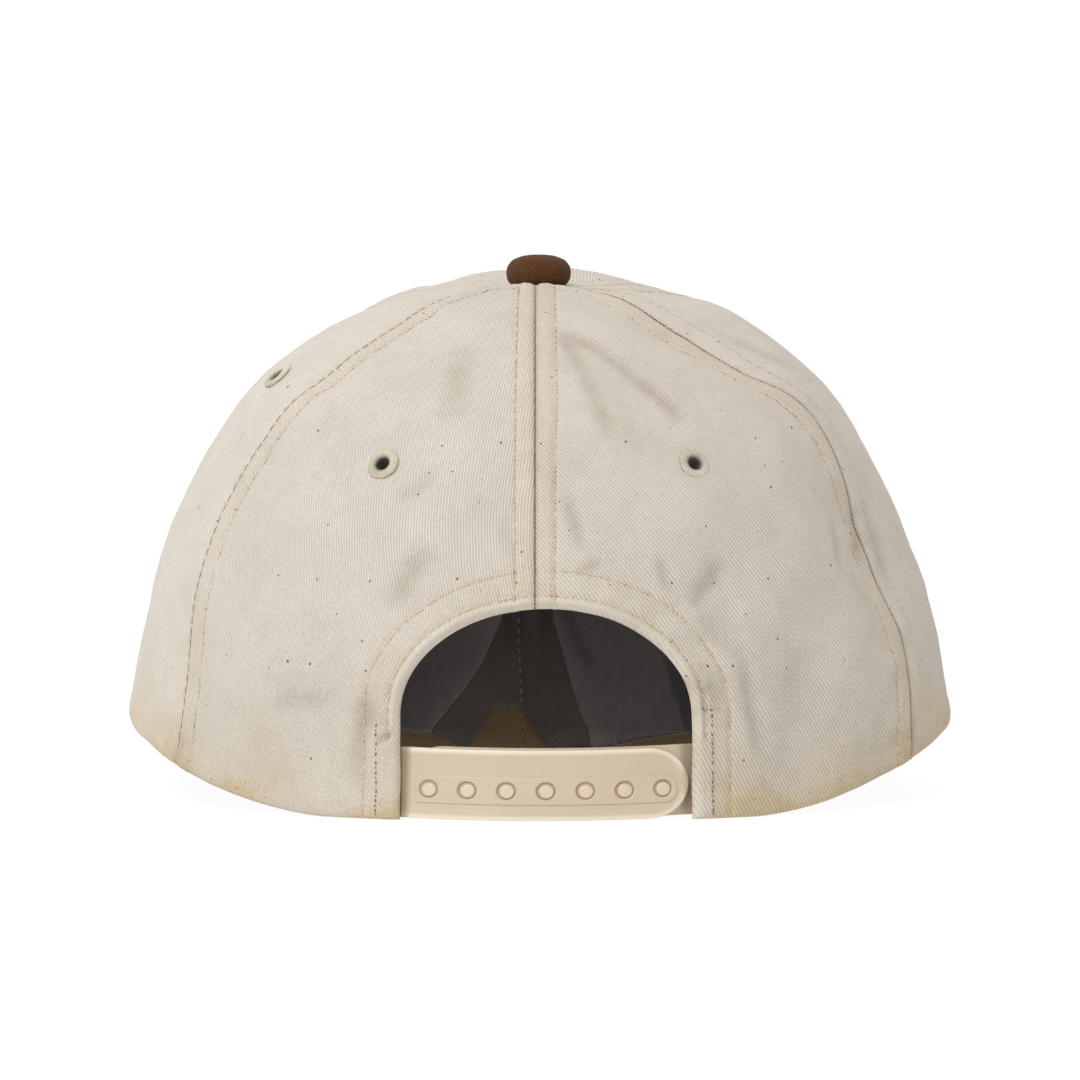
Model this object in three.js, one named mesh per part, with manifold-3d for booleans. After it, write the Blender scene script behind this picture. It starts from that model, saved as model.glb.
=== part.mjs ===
// Snapback cap: six twill panels under a covered button, a flat peak, and a plastic snap strap across an
// arched back opening. Millimetres, +Z up. The peak points to -Y and the strap faces +Y.
import * as THREE from "three";
import { mergeVertices } from "three/addons/utils/BufferGeometryUtils.js";
import Module from "manifold-3d";

const wasm = await Module();
wasm.setup();

// Driving dimensions
const CROWN = { halfWidth: 94.2, halfLength: 97, seatHeight: 114.8, sideRim: 15.8, wall: 1.4 };
const RIM_FLAT_AZIMUTH = 60; // the back rim lies flat between this azimuth and its mirror
const RIM_EASE = 1.42; // how fast the rim climbs from its flat stretch to the side
const BLEND = { back: 2, front: 1.6 }; // how fast the side meridian gives way to the back and front ones
const RISE_SEARCH = { top: 0.6, halvings: 24 };
const GAP = 0.32; // clearance between pieces that touch
const PEAK = { thickness: 3.4, reach: 70, halfWidth: 90.5, widestAt: -98, arch: 2.5, hornAzimuth: -28 };
const PEAK_SIDE_SHARE = 0.36; // share of the peak's columns that run along its side
const PEAK_CURVE = { root: 0.45, flare: 0.45, shoulder: 0.7, nose: 0.58 }; // where its control points lie
const ARCH = { halfWidth: 31.8, springHeight: 22.4, rise: 23, shift: -1.4 };
const CUT = { below: 20, depth: 60, backFace: 120, footDepth: 100, footFace: -20 }; // how far the cuts reach
const BUTTON = { radius: 7.4, height: 5.8, lift: 0.5, shift: 0.3 };
const EYELET = { holeRadius: 1.7, barrelRadius: 2.4, flangeRadius: 3.6, flangeHeight: 0.7, cut: 14 };
const BAND = { wall: 1, clearance: 0.8, frontTop: 15, sideTop: 36, backTop: 14, ease: 1.5, endAzimuth: 59 };
const BAND_HANG = { frontFoot: 0.4, belowRim: 0.6, least: 0.5, ease: 0.1 };
const LINING = { wall: 0.9, clearance: 0.5, halfSpread: 58, topRise: 0.86, foot: 0.4 };
const STRAP = { height: 15, wall: 1.3, clearance: 0.5, sag: 0.5, tabEnd: 44, tipAt: 33.7, tipLength: 9.4 };
const INNER_STRAP = { tipBack: 2, lift: 0.3 }; // how far its tip falls short and its foot stands up
const PEG_BAND = { height: 5.8, proud: 0.25, root: 0.4, from: 27.8, to: -30.9 };
const PEGS = { count: 7, pitch: 8.75, centre: -1.3, height: 6.3, radius: 1.65, clearance: 0.4 };
const PEG_DEPTH = { below: 0.1, root: 0.5 }; // its head under the raised band's face, its root in the bar
const GRID = {
  panel: { columns: 9, rows: 14 },
  peak: { columns: 28, rows: 4 },
  band: { columns: 42, rows: 4 },
  strap: { columns: 16, rows: 8 },
  pegBand: { columns: 12, rows: 8 },
};
const LINING_GRID = { side: 6, middle: 4, rows: 11 };
const FACETS = { pin: 12, eyelet: 12, button: 20, arch: 14 };

// Crown sections from the rim to the button: reach is the share of the rim's plan. The side, back and front
// columns are the share of the height from the rim to the button's seat along those meridians. The left and
// right columns are the azimuths of the two seams beside the back panels.
const SECTIONS = [
  { reach: 1.0, side: 0.0, back: 0.0, front: 0.0, left: 31.5, right: 151 },
  { reach: 0.966, side: 0.18, back: 0.21, front: 0.22, left: 30.5, right: 154 },
  { reach: 0.92, side: 0.364, back: 0.385, front: 0.44, left: 29, right: 153 },
  { reach: 0.846, side: 0.549, back: 0.555, front: 0.645, left: 29, right: 152.5 },
  { reach: 0.731, side: 0.732, back: 0.722, front: 0.818, left: 33, right: 150 },
  { reach: 0.602, side: 0.849, back: 0.833, front: 0.934, left: 36.5, right: 143 },
  { reach: 0.46, side: 0.926, back: 0.913, front: 1.017, left: 38.5, right: 138 },
  { reach: 0.32, side: 0.97, back: 0.962, front: 1.043, left: 38, right: 135 },
  { reach: 0.18, side: 0.992, back: 0.989, front: 1.021, left: 36.5, right: 134 },
  { reach: 0.09, side: 0.998, back: 0.998, front: 1.003, left: 35, right: 134 },
  { reach: 0.03, side: 1.0, back: 1.0, front: 1.0, left: 34, right: 134 },
];

// The other seams: the back one keeps this distance from the middle, and the front three these azimuths
const BACK_SEAM_OFFSET = 1.1;
const FRONT_SEAMS = { right: 210, middle: 270, left: 330 };

// Soft dents and folds: each runs between two points of the crown, given as azimuth and height, pushes it in
// by depth, and fades over width. A negative depth is a ridge.
const FOLDS = [
  { name: "rightSeamDent", from: [152, 62], to: [153, 54], width: 11, depth: 2.4 },
  { name: "rightSideDent", from: [178, 78], to: [180, 64], width: 15, depth: 0.8 },
  { name: "rightTopValley", from: [132, 112.5], to: [144, 98], width: 11, depth: 2.4 },
  { name: "leftTopValley", from: [38, 111.5], to: [36, 97], width: 10, depth: 1.5 },
  { name: "rightBackValley", from: [99, 103], to: [112, 80], width: 7, depth: 1.2 },
  { name: "archValley", from: [113, 40], to: [123, 60], width: 7, depth: 1.2 },
  { name: "lowRightValley", from: [129, 18], to: [136, 42], width: 8, depth: 1.1 },
  { name: "leftArchValley", from: [84, 63], to: [73, 50], width: 7, depth: 0.9 },
  { name: "rightTopRidge", from: [194, 113], to: [188, 108], width: 9, depth: -1.3 },
];

// Edges of the dark middle strip of the lining, as distances from the middle at each height
const LINING_STRIP = [
  { height: 0, left: 30, right: -14 },
  { height: 7, left: 26.5, right: -9.5 },
  { height: 14, left: 20.5, right: -7.3 },
  { height: 24, left: 14, right: -5.2 },
  { height: 34, left: 9.3, right: -3 },
  { height: 70, left: 6, right: -3 },
  { height: 112, left: 3, right: -2 },
];

// Foot of the lining, from left to right: it rises in the middle and at both sides and shows the band there
const LINING_FOOT = [
  { side: 82, height: 18 },
  { side: 35, height: 6.4 },
  { side: 27, height: 4.8 },
  { side: 19, height: 0.5 },
  { side: 12.6, height: 11.8 },
  { side: 5, height: 12 },
  { side: -2.2, height: 0.5 },
  { side: -15, height: 0.5 },
  { side: -27, height: 3.2 },
  { side: -36, height: 4.8 },
  { side: -82, height: 16 },
];

// Covered button from its foot to its crown, as shares of its radius and height
const BUTTON_PROFILE = [
  { across: 0, up: 0 },
  { across: 0.86, up: 0 },
  { across: 0.97, up: 0.2 },
  { across: 1, up: 0.42 },
  { across: 0.95, up: 0.66 },
  { across: 0.78, up: 0.86 },
  { across: 0.42, up: 0.98 },
  { across: 0, up: 1 },
];

// Eyelets sit near the middle of each panel
const EYELETS = [
  { name: "eyelet_back_left", azimuth: 62.3, height: 75.6 },
  { name: "eyelet_back_right", azimuth: 117.2, height: 75.6 },
  { name: "eyelet_side_left", azimuth: 19, height: 94.2 },
  { name: "eyelet_side_right", azimuth: 202, height: 93 },
  { name: "eyelet_front_left", azimuth: -60, height: 98 },
  { name: "eyelet_front_right", azimuth: -120, height: 98 },
];

const COLOURS = {
  twill: { color: 0xd7d0c3, roughness: 0.92, metalness: 0 },
  brownTwill: { color: 0x5a3b24, roughness: 0.9, metalness: 0 },
  bandTwill: { color: 0x3b2f21, roughness: 0.92, metalness: 0 },
  charcoal: { color: 0x36302f, roughness: 0.85, metalness: 0 },
  darkStrip: { color: 0x29221e, roughness: 0.9, metalness: 0 },
  thread: { color: 0xc9c5b0, roughness: 0.85, metalness: 0 },
  plastic: { color: 0xd8cab2, roughness: 0.45, metalness: 0 },
};

const radians = THREE.MathUtils.degToRad;
const degrees = THREE.MathUtils.radToDeg;
const cosDeg = (azimuth) => Math.cos(radians(azimuth));
const sinDeg = (azimuth) => Math.sin(radians(azimuth));

// Crown surface

const meridian = (column) =>
  new THREE.SplineCurve(SECTIONS.map((row) => new THREE.Vector2(row.reach, row[column])));
const MERIDIANS = { side: meridian("side"), back: meridian("back"), front: meridian("front") };
const BESIDE_BACK = { left: meridian("left"), right: meridian("right") };
const reachAt = (rise) => MERIDIANS.side.getPoint(rise).x;

// Seams between the panels, each as an azimuth for a rise
const SEAMS = {
  leftBack: (rise) => BESIDE_BACK.left.getPoint(rise).y,
  back: (rise) => 90 - degrees(Math.asin(BACK_SEAM_OFFSET / (CROWN.halfWidth * reachAt(rise)))),
  rightBack: (rise) => BESIDE_BACK.right.getPoint(rise).y,
  rightFront: () => FRONT_SEAMS.right,
  front: () => FRONT_SEAMS.middle,
  leftFront: () => FRONT_SEAMS.left,
};

// Height of the peak's underside, a shallow arch across its width
const peakUnderside = (x) => PEAK.arch * Math.max(0, 1 - (x / PEAK.halfWidth) ** 2);

function rimHeight(azimuth) {
  const flat = cosDeg(RIM_FLAT_AZIMUTH) ** 2;
  if (sinDeg(azimuth) > 0) {
    return CROWN.sideRim * Math.max(0, (cosDeg(azimuth) ** 2 - flat) / (1 - flat)) ** RIM_EASE;
  }
  const horn = Math.abs(cosDeg(PEAK.hornAzimuth));
  const climb = THREE.MathUtils.smoothstep(Math.abs(cosDeg(azimuth)), horn, 1);
  const onPeak = peakUnderside(CROWN.halfWidth * cosDeg(azimuth)) + PEAK.thickness + GAP;
  return onPeak + (CROWN.sideRim - onPeak) * climb;
}

function smoothCrown(azimuth, rise) {
  const sine = sinDeg(azimuth);
  const backShare = Math.max(0, sine) ** BLEND.back;
  const frontShare = Math.max(0, -sine) ** BLEND.front;
  const side = MERIDIANS.side.getPoint(rise);
  const back = MERIDIANS.back.getPoint(rise);
  const front = MERIDIANS.front.getPoint(rise);
  const lift = side.y + backShare * (back.y - side.y) + frontShare * (front.y - side.y);
  const rim = rimHeight(azimuth);
  return new THREE.Vector3(
    CROWN.halfWidth * side.x * cosDeg(azimuth),
    CROWN.halfLength * side.x * sine,
    rim + (CROWN.seatHeight - rim) * lift,
  );
}

// The rise at which the meridian passes a height, found by halving
function riseAt(azimuth, height) {
  let low = 0;
  let high = RISE_SEARCH.top;
  for (let step = 0; step < RISE_SEARCH.halvings; step++) {
    const middle = (low + high) / 2;
    if (smoothCrown(azimuth, middle).z < height) low = middle;
    else high = middle;
  }
  return (low + high) / 2;
}

const atHeight = (azimuth, height) => smoothCrown(azimuth, riseAt(azimuth, height));

const foldLines = FOLDS.map((fold) => ({
  ...fold,
  line: new THREE.Line3(atHeight(...fold.from), atHeight(...fold.to)),
}));

function foldDepth(point) {
  const nearest = new THREE.Vector3();
  return foldLines.reduce((sum, fold) => {
    fold.line.closestPointToPoint(point, true, nearest);
    return sum + fold.depth * Math.exp(-((nearest.distanceTo(point) / fold.width) ** 2));
  }, 0);
}

function outwardNormal(azimuth, rise) {
  const step = 0.01;
  const low = Math.max(0, rise - step);
  const high = Math.min(1, rise + step);
  const across = smoothCrown(azimuth + 1, rise).sub(smoothCrown(azimuth - 1, rise));
  const upward = smoothCrown(azimuth, high).sub(smoothCrown(azimuth, low));
  return across.cross(upward).normalize();
}

// A point of the crown, pushed in from its outer face by depth
function crownPoint(azimuth, rise, depth = 0) {
  const point = smoothCrown(azimuth, rise);
  const normal = outwardNormal(azimuth, rise);
  return point.addScaledVector(normal, -(depth + foldDepth(point)));
}

// Solids

// A closed wall between two depths. The function corner(column, row, depth) gives its points, with column and
// row running from 0 to 1.
function wall({ corner, outer, inner, columns, rows }) {
  const positions = [];
  const faces = [];
  const across = columns + 1;
  const layer = across * (rows + 1);
  for (const depth of [outer, inner]) {
    for (let j = 0; j <= rows; j++) {
      for (let i = 0; i <= columns; i++) {
        positions.push(...corner(i / columns, j / rows, depth).toArray());
      }
    }
  }
  const quad = (a, b, c, d) => faces.push(a, b, c, a, c, d);
  for (let j = 0; j < rows; j++) {
    for (let i = 0; i < columns; i++) {
      const k = j * across + i;
      quad(k, k + 1, k + across + 1, k + across);
      quad(layer + k, layer + k + across, layer + k + across + 1, layer + k + 1);
    }
  }
  for (let i = 0; i < columns; i++) {
    const top = rows * across + i;
    quad(i, layer + i, layer + i + 1, i + 1);
    quad(top, top + 1, layer + top + 1, layer + top);
  }
  for (let j = 0; j < rows; j++) {
    const start = j * across;
    const end = start + columns;
    quad(start, start + across, layer + start + across, layer + start);
    quad(end, layer + end, layer + end + across, end + across);
  }
  const geometry = new THREE.BufferGeometry();
  geometry.setAttribute("position", new THREE.Float32BufferAttribute(positions, 3));
  geometry.setIndex(faces);
  return toSolid(geometry);
}

function toSolid(geometry) {
  const bare = geometry.clone();
  bare.deleteAttribute("normal");
  bare.deleteAttribute("uv");
  const merged = mergeVertices(bare, 1e-4);
  const mesh = new wasm.Mesh({
    numProp: 3,
    vertProperties: merged.attributes.position.array,
    triVerts: new Uint32Array(merged.index.array),
  });
  return new wasm.Manifold(mesh);
}

function toGeometry(solid) {
  const mesh = solid.getMesh();
  const geometry = new THREE.BufferGeometry();
  geometry.setAttribute("position", new THREE.BufferAttribute(mesh.vertProperties, 3));
  geometry.setIndex(new THREE.BufferAttribute(mesh.triVerts, 1));
  const flat = geometry.toNonIndexed();
  flat.computeVertexNormals();
  return flat;
}

function named(name, solid, finish) {
  const mesh = new THREE.Mesh(toGeometry(solid), new THREE.MeshStandardMaterial(COLOURS[finish]));
  mesh.name = name;
  return mesh;
}

// A solid made about the Z axis, moved so that Z is the crown's outward normal at a point of its outer face
function setOnCrown(geometry, azimuth, rise) {
  const normal = outwardNormal(azimuth, rise);
  const turn = new THREE.Quaternion().setFromUnitVectors(new THREE.Vector3(0, 0, 1), normal);
  const place = new THREE.Matrix4().compose(crownPoint(azimuth, rise), turn, new THREE.Vector3(1, 1, 1));
  return toSolid(geometry.applyMatrix4(place));
}

// A lathe turned about Z, from a closed profile of [radius, height] points
function turned(profile, segments) {
  const points = profile.map(([radius, height]) => new THREE.Vector2(radius, height));
  return new THREE.LatheGeometry(points, segments).rotateX(Math.PI / 2);
}

function pinAlongNormal(radius, length) {
  return new THREE.CylinderGeometry(radius, radius, length, FACETS.pin).rotateX(Math.PI / 2);
}

// Azimuth shift that covers a distance along the crown at a given reach
const azimuthSpan = (distance, reach) => degrees(distance / (CROWN.halfWidth * reach));

const eyeletHoles = EYELETS.map((eyelet) =>
  setOnCrown(
    pinAlongNormal(EYELET.barrelRadius + GAP, EYELET.cut),
    eyelet.azimuth,
    riseAt(eyelet.azimuth, eyelet.height),
  ),
);
const pierced = (solid) => eyeletHoles.reduce((left, hole) => left.subtract(hole), solid);

function panel(fromSeam, toSeam, turn = 0) {
  const solid = wall({
    corner: (column, row, depth) => {
      const margin = azimuthSpan(GAP / 2, reachAt(row));
      const azimuth = THREE.MathUtils.lerp(fromSeam(row) - turn + margin, toSeam(row) - margin, column);
      const point = crownPoint(azimuth, row, depth);
      if (row === 0) point.z = rimHeight(azimuth);
      return point;
    },
    outer: 0,
    inner: CROWN.wall,
    ...GRID.panel,
  });
  return pierced(solid);
}

// The back opening: straight sides up to the spring line, then half an ellipse, cut right through the back
function archCutter() {
  const shape = new THREE.Shape();
  shape.moveTo(ARCH.halfWidth, -CUT.below);
  shape.lineTo(ARCH.halfWidth, ARCH.springHeight);
  shape.absellipse(0, ARCH.springHeight, ARCH.halfWidth, ARCH.rise, 0, Math.PI, false);
  shape.lineTo(-ARCH.halfWidth, -CUT.below);
  shape.closePath();
  const settings = { depth: CUT.depth, bevelEnabled: false, curveSegments: FACETS.arch };
  const geometry = new THREE.ExtrudeGeometry(shape, settings);
  return toSolid(geometry.rotateX(Math.PI / 2).translate(ARCH.shift, CUT.backFace, 0));
}

// Half of the peak's outer edge, from the horn by the rim, round the widest place, to the middle of the front
function peakEdge(share) {
  const horn = new THREE.Vector2(
    CROWN.halfWidth * cosDeg(PEAK.hornAzimuth),
    CROWN.halfLength * sinDeg(PEAK.hornAzimuth),
  );
  const widest = new THREE.Vector2(PEAK.halfWidth, PEAK.widestAt);
  const front = new THREE.Vector2(0, -CROWN.halfLength - PEAK.reach);
  const flareY = THREE.MathUtils.lerp(widest.y, horn.y, PEAK_CURVE.flare);
  const flare = new THREE.Vector2(PEAK.halfWidth, flareY);
  const root = horn.clone().lerp(flare, PEAK_CURVE.root);
  const shoulderY = THREE.MathUtils.lerp(widest.y, front.y, PEAK_CURVE.shoulder);
  const shoulder = new THREE.Vector2(PEAK.halfWidth, shoulderY);
  const nose = new THREE.Vector2(PEAK.halfWidth * PEAK_CURVE.nose, front.y);
  const side = new THREE.CubicBezierCurve(horn, root, flare, widest);
  const round = new THREE.CubicBezierCurve(widest, shoulder, nose, front);
  return share < PEAK_SIDE_SHARE
    ? side.getPoint(share / PEAK_SIDE_SHARE)
    : round.getPoint((share - PEAK_SIDE_SHARE) / (1 - PEAK_SIDE_SHARE));
}

function peak() {
  const insideWall = 1 - CROWN.wall / CROWN.halfWidth;
  return wall({
    corner: (column, row, depth) => {
      const azimuth = THREE.MathUtils.lerp(PEAK.hornAzimuth, -180 - PEAK.hornAzimuth, column);
      const inner = new THREE.Vector2(
        CROWN.halfWidth * insideWall * cosDeg(azimuth),
        CROWN.halfLength * insideWall * sinDeg(azimuth),
      );
      const outer = peakEdge(1 - Math.abs(1 - 2 * column));
      outer.x *= column > 0.5 ? -1 : 1;
      const spot = inner.lerp(outer, row);
      return new THREE.Vector3(spot.x, spot.y, peakUnderside(spot.x) + PEAK.thickness - depth);
    },
    outer: 0,
    inner: PEAK.thickness,
    ...GRID.peak,
  });
}

function button() {
  const profile = BUTTON_PROFILE.map(({ across, up }) => [BUTTON.radius * across, BUTTON.height * up]);
  const foot = CROWN.seatHeight + GAP + BUTTON.lift;
  return toSolid(turned(profile, FACETS.button).translate(BUTTON.shift, 0, foot));
}

// Embroidered eyelet: a raised ring on the outer face with a barrel through the panel
function eyelet({ azimuth, height }) {
  const { holeRadius, barrelRadius, flangeRadius, flangeHeight } = EYELET;
  const profile = [
    [holeRadius, -CROWN.wall],
    [barrelRadius, -CROWN.wall],
    [barrelRadius, GAP],
    [flangeRadius, GAP],
    [flangeRadius * 0.9, GAP + flangeHeight],
    [holeRadius * 1.2, GAP + flangeHeight],
    [holeRadius, GAP],
    [holeRadius, -CROWN.wall],
  ];
  return setOnCrown(turned(profile, FACETS.eyelet), azimuth, riseAt(azimuth, height));
}

// Height of the band's top edge: low at the front, full at the sides, lower again by the strap
function bandTop(azimuth) {
  const sine = sinDeg(azimuth);
  const end = sine > 0 ? BAND.backTop : BAND.frontTop;
  return BAND.sideTop + (end - BAND.sideTop) * Math.abs(sine) ** BAND.ease;
}

// Height of the band's foot: past the peak's edge at the front, and a hair below the rim elsewhere
function bandFoot(azimuth) {
  const start = -sinDeg(PEAK.hornAzimuth);
  const share = THREE.MathUtils.smoothstep(-sinDeg(azimuth), start, start + BAND_HANG.ease);
  const besideRim = Math.max(rimHeight(azimuth) - BAND_HANG.belowRim, 0);
  return THREE.MathUtils.lerp(besideRim, BAND_HANG.frontFoot, share);
}

const BAND_DEPTH = CROWN.wall + BAND.clearance;
const LINING_DEPTH = BAND_DEPTH + BAND.wall + LINING.clearance;

// A wall hung inside the crown, whose first row drops from the rim to its foot
function hung({ azimuthAt, topRise, foot, depth, thickness, columns, rows }) {
  return wall({
    corner: (column, row, inward) => {
      const share = Math.max(0, row * rows - 1) / (rows - 1);
      const azimuth = azimuthAt(column, share);
      const point = crownPoint(azimuth, share * topRise(azimuth), inward);
      if (row === 0) point.z = foot(azimuth);
      else if (share === 0) point.z = Math.max(rimHeight(azimuth), foot(azimuth) + BAND_HANG.least);
      return point;
    },
    outer: depth,
    inner: depth + thickness,
    columns,
    rows,
  });
}

function innerBand() {
  return hung({
    azimuthAt: (column) => THREE.MathUtils.lerp(-180 - BAND.endAzimuth, BAND.endAzimuth, column),
    topRise: (azimuth) => riseAt(azimuth, bandTop(azimuth)),
    foot: bandFoot,
    depth: BAND_DEPTH,
    thickness: BAND.wall,
    ...GRID.band,
  });
}

// Distance of the strip's edge from the middle at a height, read along the table
function stripEdge(side, height) {
  const above = LINING_STRIP.findIndex((row) => row.height > height);
  if (above <= 0) return LINING_STRIP[above === 0 ? 0 : LINING_STRIP.length - 1][side];
  const low = LINING_STRIP[above - 1];
  const high = LINING_STRIP[above];
  const share = (height - low.height) / (high.height - low.height);
  return THREE.MathUtils.lerp(low[side], high[side], share);
}

// Azimuth of the strip's edge at a rise of the front meridian
function stripAzimuth(side, rise) {
  const point = crownPoint(FRONT_SEAMS.middle, rise, LINING_DEPTH);
  const sine = stripEdge(side, point.z) / (CROWN.halfWidth * reachAt(rise) - LINING_DEPTH);
  return FRONT_SEAMS.middle - 360 + degrees(Math.asin(sine));
}

// Everything below the foot of the lining, as one solid
function belowFoot() {
  const shape = new THREE.Shape(LINING_FOOT.map((row) => new THREE.Vector2(row.side, row.height)));
  shape.lineTo(LINING_FOOT.at(-1).side, -CUT.below);
  shape.lineTo(LINING_FOOT[0].side, -CUT.below);
  shape.closePath();
  const geometry = new THREE.ExtrudeGeometry(shape, { depth: CUT.footDepth, bevelEnabled: false });
  return toSolid(geometry.rotateX(Math.PI / 2).translate(0, CUT.footFace, 0));
}

function lining(fromAzimuth, toAzimuth, columns) {
  const solid = hung({
    azimuthAt: (column, share) => {
      const rise = share * LINING.topRise;
      return THREE.MathUtils.lerp(fromAzimuth(rise), toAzimuth(rise), column);
    },
    topRise: () => LINING.topRise,
    foot: () => LINING.foot,
    depth: LINING_DEPTH,
    thickness: LINING.wall,
    columns,
    rows: LINING_GRID.rows,
  });
  return pierced(solid).subtract(belowFoot());
}

// Strap, laid along the back of the crown: along is the distance from the middle of the back towards the left

const strapAzimuth = (along) => 90 - degrees(along / CROWN.halfWidth);
const strapBottom = (along) => STRAP.sag * Math.min(1, Math.abs(along) / STRAP.tipAt) ** 2;

function strapPoint(along, height, depth) {
  const azimuth = strapAzimuth(along);
  const point = crownPoint(azimuth, riseAt(azimuth, height), depth);
  point.z = height;
  return point;
}

// A flat bar with one round end, wrapped along the back
function strapBar({ tab, tip, tipLength, bottom, height, outer, inner, grid }) {
  const radius = height / 2;
  const side = Math.sign(tip);
  return wall({
    corner: (column, row, depth) => {
      const turn = Math.PI * (row - 0.5);
      const roundEnd = tip - side * tipLength * (1 - Math.cos(turn));
      const ends = side > 0 ? [roundEnd, tab] : [tab, roundEnd];
      const along = THREE.MathUtils.lerp(ends[0], ends[1], column);
      return strapPoint(along, strapBottom(along) + bottom + radius * (1 + Math.sin(turn)), depth);
    },
    outer,
    inner,
    ...grid,
  });
}

const outerDepth = CROWN.wall + STRAP.clearance;
const innerDepth = outerDepth + STRAP.wall + GAP;
const pegAlong = (index) => PEGS.centre + (index - (PEGS.count - 1) / 2) * PEGS.pitch;

function pegSolid(index, radius, from, to) {
  const along = pegAlong(index);
  const azimuth = strapAzimuth(along);
  const rise = riseAt(azimuth, strapBottom(along) + PEGS.height);
  const cylinder = pinAlongNormal(radius, to - from).translate(0, 0, -(from + to) / 2);
  return setOnCrown(cylinder, azimuth, rise);
}

function strapWithHoles() {
  const bar = strapBar({
    tab: STRAP.tabEnd,
    tip: -STRAP.tipAt,
    tipLength: STRAP.tipLength,
    bottom: 0,
    height: STRAP.height,
    outer: outerDepth,
    inner: outerDepth + STRAP.wall,
    grid: GRID.strap,
  });
  const pegBand = strapBar({
    tab: PEG_BAND.from,
    tip: PEG_BAND.to,
    tipLength: PEG_BAND.height / 2,
    bottom: PEGS.height - PEG_BAND.height / 2,
    height: PEG_BAND.height,
    outer: outerDepth - PEG_BAND.proud,
    inner: outerDepth + PEG_BAND.root,
    grid: GRID.pegBand,
  });
  let solid = bar.add(pegBand);
  for (let index = 0; index < PEGS.count; index++) {
    solid = solid.subtract(pegSolid(index, PEGS.radius + PEGS.clearance, 0, innerDepth));
  }
  return solid;
}

function strapWithPegs() {
  let solid = strapBar({
    tab: -STRAP.tabEnd,
    tip: STRAP.tipAt - INNER_STRAP.tipBack,
    tipLength: STRAP.tipLength,
    bottom: INNER_STRAP.lift,
    height: STRAP.height,
    outer: innerDepth,
    inner: innerDepth + STRAP.wall,
    grid: GRID.strap,
  });
  const head = outerDepth - PEG_BAND.proud + PEG_DEPTH.below;
  for (let index = 0; index < PEGS.count; index++) {
    solid = solid.add(pegSolid(index, PEGS.radius, head, innerDepth + PEG_DEPTH.root));
  }
  return solid;
}

// Assembly

const cap = new THREE.Group();
const arch = archCutter();
const edgeStrip = azimuthSpan(GAP / 2, 1);

cap.add(
  named("back_panel_left", panel(SEAMS.leftBack, SEAMS.back).subtract(arch), "twill"),
  named("back_panel_right", panel(SEAMS.back, SEAMS.rightBack).subtract(arch), "twill"),
  named("side_panel_left", panel(SEAMS.leftFront, SEAMS.leftBack, 360), "twill"),
  named("side_panel_right", panel(SEAMS.rightBack, SEAMS.rightFront), "twill"),
  named("front_panel_left", panel(SEAMS.front, SEAMS.leftFront), "twill"),
  named("front_panel_right", panel(SEAMS.rightFront, SEAMS.front), "twill"),
  named("button", button(), "brownTwill"),
  named("peak", peak(), "brownTwill"),
  named("inner_band", innerBand(), "bandTwill"),
  named("strap_with_holes", strapWithHoles(), "plastic"),
  named("strap_with_pegs", strapWithPegs(), "plastic"),
);

cap.add(
  named(
    "lining_left",
    lining(
      (rise) => stripAzimuth("left", rise) + edgeStrip,
      () => -90 + LINING.halfSpread,
      LINING_GRID.side,
    ),
    "charcoal",
  ),
  named(
    "lining_centre",
    lining(
      (rise) => stripAzimuth("right", rise) + edgeStrip,
      (rise) => stripAzimuth("left", rise) - edgeStrip,
      LINING_GRID.middle,
    ),
    "darkStrip",
  ),
  named(
    "lining_right",
    lining(
      () => -90 - LINING.halfSpread,
      (rise) => stripAzimuth("right", rise) - edgeStrip,
      LINING_GRID.side,
    ),
    "charcoal",
  ),
);

for (const row of EYELETS) {
  cap.add(named(row.name, eyelet(row), "thread"));
}

// The part's origin is under the middle of its plan, peak included
const middle = new THREE.Box3().setFromObject(cap).getCenter(new THREE.Vector3());
cap.position.set(-middle.x, -middle.y, 0);

export default cap;
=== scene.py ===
"""Snapback cap: twill panels with topstitched seams, a flat peak, a covered button and a snap strap.

Shapes are worked out in millimetres in the crown's own frame, +Z up with the strap at +Y, and become metres
in the row frame when a mesh is made. Azimuths are degrees from +X, so 90 is the middle of the back. Depths
are measured inward from the crown's outer face.
"""

import logging
import math
from dataclasses import dataclass
from enum import Enum
from functools import lru_cache
from typing import Callable, Iterator, Optional, Sequence

import bpy
import numpy as np
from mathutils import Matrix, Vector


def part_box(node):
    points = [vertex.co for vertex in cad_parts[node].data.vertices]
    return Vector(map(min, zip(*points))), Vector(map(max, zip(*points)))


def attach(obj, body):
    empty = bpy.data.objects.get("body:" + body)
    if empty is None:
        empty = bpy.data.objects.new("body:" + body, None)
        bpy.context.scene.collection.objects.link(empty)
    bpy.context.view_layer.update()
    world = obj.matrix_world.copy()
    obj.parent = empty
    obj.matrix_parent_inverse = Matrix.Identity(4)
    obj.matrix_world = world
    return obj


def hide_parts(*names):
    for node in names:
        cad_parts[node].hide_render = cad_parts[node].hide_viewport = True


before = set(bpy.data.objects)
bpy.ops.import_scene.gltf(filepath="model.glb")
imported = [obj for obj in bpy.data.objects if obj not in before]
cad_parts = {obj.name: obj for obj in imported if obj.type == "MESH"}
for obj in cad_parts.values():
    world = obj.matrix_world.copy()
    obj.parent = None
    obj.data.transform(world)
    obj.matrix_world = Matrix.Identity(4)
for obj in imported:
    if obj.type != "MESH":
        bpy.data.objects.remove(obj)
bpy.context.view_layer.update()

log = logging.getLogger("snapback_cap")
Array = np.ndarray
Pair = tuple[Array, Array]
Piece, Material = bpy.types.Object, bpy.types.Material

MM = 0.001
FULL_TURN = 360.0
TAU = 2 * math.pi


# Numbers and small helpers


def sin_deg(azimuth: Array) -> Array:
    """Sine of an angle in degrees."""
    return np.sin(np.radians(azimuth))


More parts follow.
